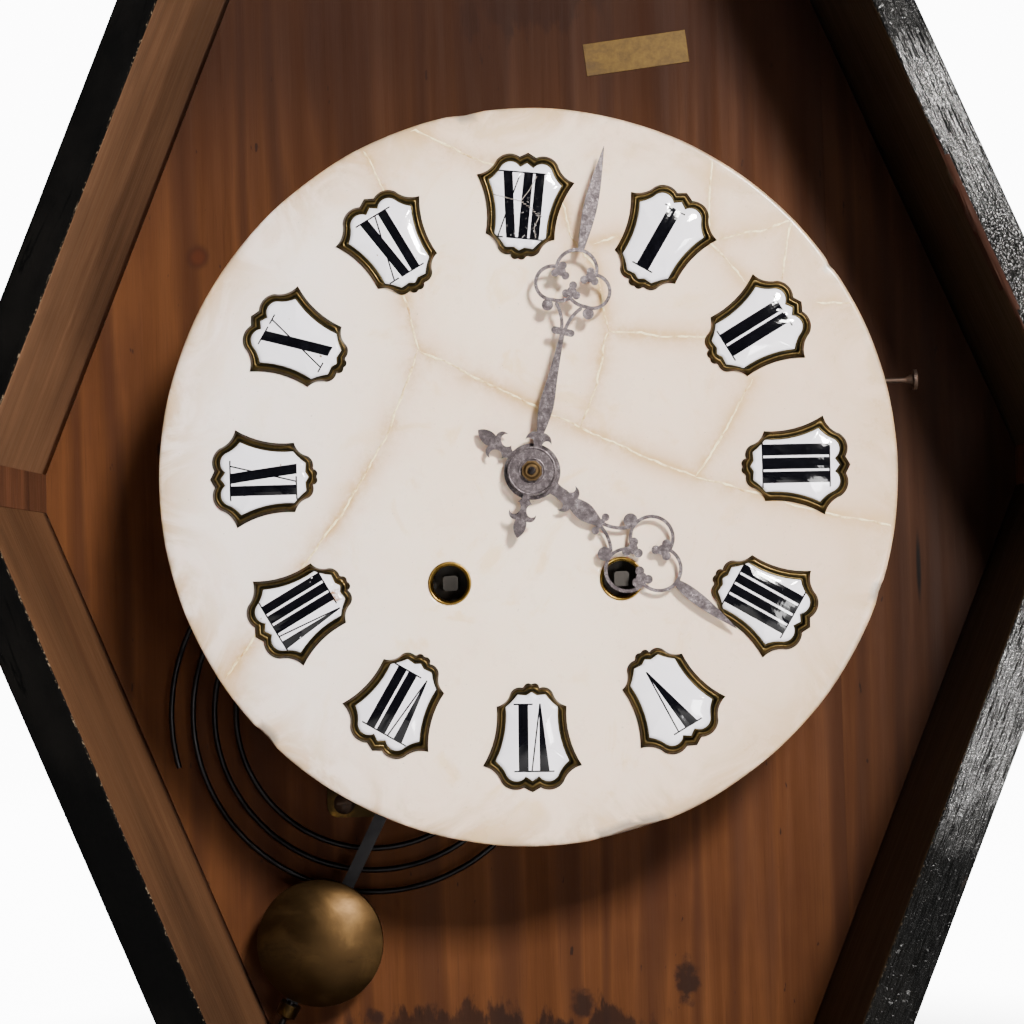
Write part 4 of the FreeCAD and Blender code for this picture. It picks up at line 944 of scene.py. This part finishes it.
# The cracks of the plaque at twelve, in mm from its own centre.
PLAQUE_CRACKS = [[(-13.0, 3.4), (-7.0, 2.2), (-1.0, 1.2), (3.6, -1.4), (7.0, -4.4)],
                 [(-1.0, 1.2), (2.0, 6.0), (4.5, 12.0)], [(7.0, -4.4), (5.4, -9.0), (6.4, -13.0)]]
HAIRLINE = 0.6                  # mm, the width of the thin strokes
SERIF = 1.9                     # mm, how far a serif reaches past its bar
LETTER_GAP = 0.95               # mm between two letters
LONE_X_SHORT = 1.8              # mm, how much less far the thin stroke of the X alone reaches
NUMERAL_LEFT = 0.8              # mm, how far left of the middle a numeral stands
DOME = 1.5                      # mm, how far the enamel's edge is below its top
ENAMEL_FIT = 0.995              # the enamel's share of its window's width
PAINT_OVER = 0.06               # mm of a stroke above the enamel, and in it
PAINT_UNDER = 0.05
ENAMEL_SUNK = 0.1               # mm, the enamel's top behind the CAD plaque's front
CRACK_HALF = 0.16               # mm, half the width of a crack, and its height over the paint
CRACK_OVER = 0.04
RUST_ON = 8                     # the plaque with the rust spot; its place there and its radius in mm
RUST_AT = (-2.5, -15.0)
RUST_R = 2.6


class Plaque:
    """One plaque's place, upright direction and outlines, read from the CAD solids."""

    def __init__(self, window, frame_points):
        mean = sum(window, Vector()) / len(window)
        foot = max(window, key=lambda p: (p - mean).length)
        self.up = (mean - foot).normalized()
        self.right = Vector((self.up.z, 0, -self.up.x))
        self.centre = foot + self.up * PLAQUE_FOOT
        self.centre.y = 0.0
        self.inner = self.outline(window)
        self.outer = self.outline(frame_points)
        angles = sorted([a for a, _ in self.inner] + [a for a, _ in self.outer])
        self.angles = [angles[0]]
        for a in angles:
            if a - self.angles[-1] > math.radians(0.6):
                self.angles.append(a)

    def local(self, point):
        off = point - self.centre
        return off.dot(self.right), off.dot(self.up)

    def outline(self, points):
        """The outline as (angle, radius) about the plaque's centre."""
        flat = [self.local(p) for p in points]
        return sorted((math.atan2(v, u), math.hypot(u, v)) for u, v in flat)

    def radius(self, outline, angle):
        """The radius of a straight-sided outline along an angle."""
        after = next((n for n, (a, _) in enumerate(outline) if a >= angle), 0)
        a1, r1 = outline[after - 1]
        a2, r2 = outline[after]
        x1, y1, x2, y2 = r1 * math.cos(a1), r1 * math.sin(a1), r2 * math.cos(a2), r2 * math.sin(a2)
        dx, dy = math.cos(angle), math.sin(angle)
        det = dx * (y1 - y2) - dy * (x1 - x2)
        if abs(det) < 1e-9:
            return r1
        return (x1 * (y1 - y2) - y1 * (x1 - x2)) / det

    def within(self, angle, share):
        """The local place at a share of the way out to the window's edge."""
        r = self.radius(self.inner, angle) * share
        return r * math.cos(angle), r * math.sin(angle)

    def place(self, u, v, y):
        point = self.centre + self.right * u + self.up * v
        return (point.x, y, point.z)

    def dome(self, u, v, edge_y, top_y):
        """The enamel's y at a local place: flat-topped, and turned down towards the bezel."""
        reach = self.radius(self.inner, math.atan2(v, u))
        share = min(1.0, math.hypot(u, v) / reach)
        return edge_y + (top_y - edge_y) * (1 - share ** 2.6)


def read_plaques():
    front = in_mm(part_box("numeral_bezels"))[0].y
    windows, rims = [], []
    for node, found in (("numeral_plaques", windows), ("numeral_bezels", rims)):
        bm = cad_mesh(node)
        y = in_mm(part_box(node))[0].y
        for group in islands(bm):
            found.append([Vector((v.co.x, 0, v.co.z)) for v in group if v.co.y < y + 0.02])
        bm.free()
    plaques = []
    for window in windows:
        mean = sum(window, Vector()) / len(window)
        rim = min(rims, key=lambda r: (sum(r, Vector()) / len(r) - mean).length)
        rim = [p for p in rim if min((p - q).length for q in window) > 0.3]
        plaques.append(Plaque(window, rim))
    middle = sum((p.centre for p in plaques), Vector()) / len(plaques)
    ways = {id(p): p.centre - middle for p in plaques}
    plaques.sort(key=lambda p: math.atan2(ways[id(p)].x, ways[id(p)].z + 1e-6) % (2 * math.pi))
    top = min(range(12), key=lambda n: abs(plaques[n].centre.x - middle.x) - plaques[n].centre.z)
    return plaques[top:] + plaques[:top], front


def bezel_rings(plaques, base, front, brass):
    """Stamped frames: one broad bead, and a low step beside the enamel."""
    height = base - front
    section = [(0.00, 0.0, 0.0), (0.00, 0.22, 0.1), (0.06, 0.32, 0.1), (0.14, 0.46, 0.1), (0.22, 0.68, 0.2),
               (0.32, 0.87, 0.4), (0.42, 0.98, 0.5), (0.52, 1.00, 0.5), (0.62, 0.93, 0.3), (0.70, 0.80, 0.1),
               (0.76, 0.66, 0.0), (0.82, 0.62, 0.0), (0.89, 0.70, 0.3), (0.95, 0.68, 0.4), (1.00, 0.52, 0.1),
               (1.00, 0.0, 0.0)]
    bm = bmesh.new()
    worn = []
    for plaque in plaques:
        rings = []
        for share, rise, wear in section:
            ring = []
            for a in plaque.angles:
                outer, inner = plaque.radius(plaque.outer, a), plaque.radius(plaque.inner, a)
                r = outer + (inner - outer) * share
                ring.append(plaque.place(r * math.cos(a), r * math.sin(a), base - height * rise))
                worn.append(wear)
            rings.append(ring)
        skin(bm, rings, around=True)
    made = piece_from(bm, "stamped_bezels", "case", [brass], ["numeral_bezels"])
    mark(made, "worn", worn)


def enamel_domes(plaques, base, edge_y, top_y, white):
    """The glass plaques, flat behind and domed in front; the one at eight has a rust spot."""
    bm = bmesh.new()
    rust = []
    steps = 12
    for number, plaque in enumerate(plaques):
        rings = [[plaque.place(*plaque.within(a, ENAMEL_FIT), base) for a in plaque.angles]]
        rust += [0.0] * len(plaque.angles)
        for n in range(steps, 0, -1):
            ring = []
            for a in plaque.angles:
                u, v = plaque.within(a, ENAMEL_FIT * n / steps)
                ring.append(plaque.place(u, v, plaque.dome(u, v, edge_y, top_y)))
                rust.append(1.0 if number == RUST_ON and math.dist((u, v), RUST_AT) < RUST_R else 0.0)
            rings.append(ring)
        rows = skin(bm, rings)
        for row, y in ((rows[0], base), (rows[-1], top_y)):
            fan(bm, row, plaque.place(0, 0, y))
            rust.append(0.0)
    made = piece_from(bm, "enamel_plaques", "case", [white], ["numeral_plaques"])
    mark(made, "rust", rust)


def strokes(text, weight):
    """A Roman numeral's strokes, centred, as (top left, top right, foot left, foot right) and serifs."""
    alone = len(text) == 1
    span = {"V": 9.3 if alone else 8.7 - 0.6 * len(text), "X": 11.8 if alone else 7.6}
    bars, top_serifs, foot_serifs = [], [], []
    x = 0.0
    for letter in text:
        if letter == "I":
            bars.append((x, x + weight, x, x + weight))
            top_serifs.append((x - SERIF, x + weight + SERIF))
            foot_serifs.append((x - SERIF, x + weight + SERIF))
            x += weight + LETTER_GAP
            continue
        wide = span[letter]
        if letter == "V":
            apex = wide * (0.78 if alone else 0.45)
            bars.append((x, x + weight, apex + x, apex + x + HAIRLINE))
            bars.append((x + wide - HAIRLINE, x + wide, apex + x, apex + x + HAIRLINE))
        else:
            bars.append((x, x + weight, x + wide - weight, x + wide))
            thin = wide - LONE_X_SHORT if alone else wide
            bars.append((x + thin - HAIRLINE, x + thin, x + wide - thin, x + wide - thin + HAIRLINE))
            foot_serifs.append((x + wide - thin - SERIF, x + wide - thin + SERIF + HAIRLINE))
        top_serifs.append((x - SERIF, x + weight + SERIF))
        end = x + (wide - LONE_X_SHORT if alone and letter == "X" else wide)
        top_serifs.append((end - SERIF - HAIRLINE, end + SERIF))
        x += wide + LETTER_GAP
    shift = -(x - LETTER_GAP) / 2 - NUMERAL_LEFT
    moved = [tuple(p + shift for p in bar) for bar in bars]
    tops = [(a + shift, b + shift) for a, b in top_serifs]
    feet = [(a + shift, b + shift) for a, b in foot_serifs]
    return moved, tops, feet


def patch(bm, plaque, corners, levels, edge_y, top_y):
    """A thin painted stroke on the dome: corners are (top left, top right, foot left, foot right)."""
    top_left, top_right, foot_left, foot_right = corners
    foot, top = levels
    rows = max(1, round((top - foot) / 1.4))
    columns = max(1, round(max(top_right - top_left, foot_right - foot_left) / 1.2))
    rings = []
    for n in range(rows + 1):
        t = n / rows
        v = foot + (top - foot) * t
        left = foot_left + (top_left - foot_left) * t
        right = foot_right + (top_right - foot_right) * t
        above, below = [], []
        for k in range(columns + 1):
            u = left + (right - left) * k / columns
            y = plaque.dome(u, v, edge_y, top_y)
            above.append(plaque.place(u, v, y - PAINT_OVER))
            below.append(plaque.place(u, v, y + PAINT_UNDER))
        rings.append(above + below[::-1])
    skin(bm, rings, ends=True)


def numeral_paint(plaques, edge_y, top_y, black):
    """All the numerals as one piece; the lower half of the first one is flaked."""
    bm = bmesh.new()
    low, high = NUMERAL_HEIGHT
    first_numeral = 0
    for (text, weight), plaque in zip(NUMERALS.items(), plaques):
        bars, tops, feet = strokes(text, weight)
        for bar in bars:
            patch(bm, plaque, bar, (low, high), edge_y, top_y)
        for level, serifs in ((high - HAIRLINE, tops), (low, feet)):
            for a, b in serifs:
                patch(bm, plaque, (a, b, a, b), (level, level + HAIRLINE), edge_y, top_y)
        first_numeral = first_numeral or len(bm.verts)
    bm.verts.ensure_lookup_table()
    sound = plaques[0].place(0, 2, 0)[2]
    flaked = []
    for n, vertex in enumerate(bm.verts):
        flaked.append(max(0.0, min(1.0, (sound - vertex.co.z) / 8 + 0.3)) if n < first_numeral else 0.0)
    made = piece_from(bm, "painted_numerals", "case", [black], smooth=False)
    mark(made, "flaked", flaked)


def plaque_cracks(plaque, edge_y, top_y, colour):
    """Fine dark cracks across the damaged plaque at twelve, as thin strips on its dome."""
    bm = bmesh.new()
    crack_y = top_y - CRACK_OVER
    for line in PLAQUE_CRACKS:
        for (ax, az), (bx, bz) in zip(line, line[1:]):
            if abs(bz - az) > abs(bx - ax):
                (ax, az), (bx, bz) = sorted(((ax, az), (bx, bz)), key=lambda p: -p[1])
                corners = (ax - CRACK_HALF, ax + CRACK_HALF, bx - CRACK_HALF, bx + CRACK_HALF)
                patch(bm, plaque, corners, (bz, az), edge_y, crack_y)
                continue
            steps = 4
            for n in range(steps):
                x0, x1 = ax + (bx - ax) * n / steps, ax + (bx - ax) * (n + 1) / steps
                z0 = az + (bz - az) * (n + 0.5) / steps
                left, right = sorted((x0, x1))
                levels = (z0 - CRACK_HALF, z0 + CRACK_HALF)
                patch(bm, plaque, (left, right, left, right), levels, edge_y, crack_y)
    piece_from(bm, "plaque_cracks", "case", [colour], smooth=False)


def dial_pieces(slots):
    dial_disc(slots["alabaster"])
    crack_lines(glue())
    plaques, front = read_plaques()
    base = in_mm(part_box("dial"))[0].y
    top_y = in_mm(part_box("numeral_plaques"))[0].y
    edge_y = top_y + DOME
    glass_y = top_y + ENAMEL_SUNK
    bezel_brass = aged_brass("bezel_brass", tint(24, 22, 13), tint(84, 68, 38), 0.16, 0.6, 0.36, 0.25)
    bezel_rings(plaques, base, front, bezel_brass)
    enamel_domes(plaques, base, edge_y, glass_y, slots["enamel"])
    numeral_paint(plaques, edge_y, glass_y, numeral_black())
    plaque_cracks(plaques[0], edge_y, glass_y, crack_dirt())


# ---------------------------------------------------------------- hands

def turned_ring(bm, section, y, at=(0.0, 0.0)):
    """A turned ring about (x, z) from (radius, rise) points; y is the face it stands on."""
    skin(bm, [circle(*at, r, y - rise, 72) for r, rise in section], around=True)


HUB_RINGS = ((9.3, 0.22), (5.0, 0.12))  # mm: radius and height of the minute hub's turned rings


def hand_pieces(slots):
    steel = slots["hand_steel"]
    # the bevelled edges get a darker steel: a painted dark reflection along the hands' edges
    edge_painted_dark = brushed("hand_edge_painted_dark", tint(58, 51, 53), tint(30, 26, 28), 0.34)
    for node in ("minute_hand", "hour_hand"):
        made = stand_in(node, steel, 0.4, segments=4)
        made.data.materials.append(edge_painted_dark)
        made.modifiers["edges"].material = 1
    face = in_mm(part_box("minute_hand"))[0].y
    bm = bmesh.new()
    for r, rise in HUB_RINGS:
        turned_ring(bm, [(r + 0.5, -0.1), (r + 0.4, rise * 0.6), (r + 0.1, rise), (r - 0.2, rise * 0.8),
                         (r - 0.6, -0.1)], face)
    piece_from(bm, "minute_hub_rings", "centre", [steel])
    nut_brass = aged_brass("nut_brass", tint(70, 55, 36), tint(116, 94, 62), 0.04, 0.3, 0.5, 0.5)
    stand_in("hand_nut", nut_brass, 0.15)


# ---------------------------------------------------------------- metal of the gong, pendulum and movement

NODE_SLOTS = {
    "plain_wood": ("dial_backing", "movement_blocks"),
    "iron": ("board_nails", "dial_pin", "gong_post", "gong_screws", "hanger_plate", "wood_screws"),
    "dark_brass": ("gong_base", "rating_nut"),
    "dark_steel": ("gong_coil", "pendulum_rod"),
    "movement_brass": ("front_plate", "rear_plate", "centre_wheel", "second_wheel", "going_barrel",
                       "going_barrel_cap", "strike_barrel", "strike_barrel_cap", "third_wheel",
                       "escape_wheel", "minute_wheel", "hour_wheel", "pin_wheel", "warning_wheel", "fly",
                       "suspension_cock"),
    "movement_steel": ("cannon_pinion", "going_mainspring", "strike_mainspring", "going_winding_arbor",
                       "strike_winding_arbor", "going_click", "strike_click", "pillars", "pillar_screws",
                       "hammer", "anchor", "crutch"),
}
FINE_EDGE = 0.12                # mm, the broken edges of small metal parts
# The ferrules' section in mm: how far in from the lip's edge, and how far above its face.
FERRULE_LIP = [(0.0, -0.8), (0.0, -0.3), (0.15, -0.08), (0.45, 0.0), (0.8, -0.06), (1.1, -0.3), (1.2, -0.8),
               (1.25, -8.5), (1.6, -8.5), (1.6, -0.8)]


def ferrules():
    """The winding holes' brass linings, each with a bright rolled lip."""
    low, high = in_mm(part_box("winding_ferrules"))
    lip_r = (high.z - low.z) / 2
    bm = bmesh.new()
    for x in (low.x + lip_r, high.x - lip_r):
        section = [(lip_r - inward, rise) for inward, rise in FERRULE_LIP]
        turned_ring(bm, section, low.y, (x, (low.z + high.z) / 2))
    lip = aged_brass("ferrule_brass", tint(110, 86, 40), tint(206, 168, 84), 0.12, 0.4, 0.26, 0.7)
    piece_from(bm, "rolled_ferrules", "case", [lip], ["winding_ferrules"])


def metal_pieces(slots):
    ferrules()
    square_steel = brushed("square_steel", tint(62, 59, 56), tint(38, 36, 34), 0.42)
    special = {
        "centre_wheel": brushed("centre_metal", *CLOCK_BRASS, 0.3, tint(44, 40, 40)),
        "going_winding_arbor": square_steel,
        "strike_winding_arbor": square_steel,
    }
    for slot, nodes in NODE_SLOTS.items():
        for node in nodes:
            thing = frame["nodes"][node]
            thing.data.materials.clear()
            thing.data.materials.append(special.get(node, slots[slot]))
            weld = thing.modifiers.new("weld", "WELD")
            weld.merge_threshold = MERGE * MM
            softened(thing, FINE_EDGE, 1)
    bob_brass = aged_brass("bob_brass", tint(64, 48, 29), tint(104, 80, 48), 0.04, 0.7, 0.36, 0.35)
    for node in ("bob_front", "bob_back"):
        made = stand_in(node, bob_brass, 0.3)
        made.name = node + "_shell"


# ---------------------------------------------------------------- stage, light and camera

def soft_light(name, at, towards, size, power, colour):
    """A square soft box, with places in metres."""
    light = bpy.data.lights.new(name, "AREA")
    light.shape = "RECTANGLE"
    light.size, light.size_y = size
    light.energy = power
    light.color = colour
    thing = placed(name, light)
    thing.visible_camera = False
    thing.location = at
    thing.rotation_euler = (Vector(towards) - Vector(at)).to_track_quat("-Z", "Y").to_euler()


SWEEP_GLOW = 12.0               # the background's brightness, which the floor fades into
SWEEP = (0.36, 0.62)            # metres from the origin where the floor starts and ends its fading
FLOOR_HALF = 3.0


def stage_and_light():
    floor_z = cad_box[0].z - 0.002
    corners = ((-1, -1), (1, -1), (1, 1), (-1, 1))
    mesh = bpy.data.meshes.new("floor")
    mesh.from_pydata([(x * FLOOR_HALF, y * FLOOR_HALF, floor_z) for x, y in corners], [], [(0, 1, 2, 3)])
    paint = Paint("pale_floor", Roughness=0.8, Emission_Color=(1, 1, 1, 1))
    cast = paint.noise(3, 2)
    paint.put(paint.ramp(cast, (0.3, tint(240, 240, 240)), (0.7, tint(236, 236, 236))), "Base_Color")
    seen = paint.node("LightPath").outputs["Is Camera Ray"]
    fade = paint.band(paint.length(paint.place), *SWEEP, 0.0, SWEEP_GLOW)
    paint.put(paint.times(fade, seen), "Emission_Strength")
    mesh.materials.append(paint.material)
    floor = placed("floor", mesh)

    world = bpy.data.worlds.new("studio")
    bpy.context.scene.world = world
    world.use_nodes = True
    nodes, links = world.node_tree.nodes, world.node_tree.links
    around = nodes["Background"]
    around.inputs["Color"].default_value = (1.0, 0.98, 0.96, 1.0)
    around.inputs["Strength"].default_value = 0.03
    seen = nodes.new("ShaderNodeBackground")
    seen.inputs["Color"].default_value = (1, 1, 1, 1)
    seen.inputs["Strength"].default_value = SWEEP_GLOW
    ray = nodes.new("ShaderNodeLightPath")
    either = nodes.new("ShaderNodeMixShader")
    links.new(ray.outputs["Is Camera Ray"], either.inputs[0])
    links.new(around.outputs[0], either.inputs[1])
    links.new(seen.outputs[0], either.inputs[2])
    links.new(either.outputs[0], nodes["World Output"].inputs["Surface"])

    soft_light("key", (0.52, -1.45, 0.60), (0, 0, 0), (0.22, 0.22), 53, (1.0, 0.97, 0.93))
    soft_light("side", (0.46, -1.52, -0.19), (0.2, 0, -0.1), (0.20, 0.25), 5.0, (1.0, 0.98, 0.97))
    soft_light("fill", (-0.9, -1.7, 0.9), (0, 0, 0), (1.2, 0.8), 0.6, (1.0, 0.98, 0.96))
    soft_light("rear", (-0.9, 1.7, 0.9), (0, 0, 0), (1.2, 1.2), 26, (1.0, 1.0, 1.0))


CAMERA_AT = (0.0200, -0.9997, -0.0492)
CAMERA_FORWARD = (-0.03215, 0.99879, 0.03727)
CAMERA_UP = (0.02916, -0.03633, 0.99891)
LENS = 77.71


def camera():
    data = bpy.data.cameras.new("camera")
    data.lens = LENS
    data.sensor_width = 36.0
    data.clip_start = 0.01
    data.clip_end = 50.0
    thing = placed("camera", data)
    forward = Vector(CAMERA_FORWARD).normalized()
    right = forward.cross(Vector(CAMERA_UP)).normalized()
    up = right.cross(forward)
    turn = Matrix((right, up, -forward)).transposed().to_4x4()
    thing.matrix_world = Matrix.Translation(CAMERA_AT) @ turn
    bpy.context.scene.camera = thing


slots = make_materials()
case_pieces(slots)
dial_pieces(slots)
hand_pieces(slots)
metal_pieces(slots)
stage_and_light()
camera()
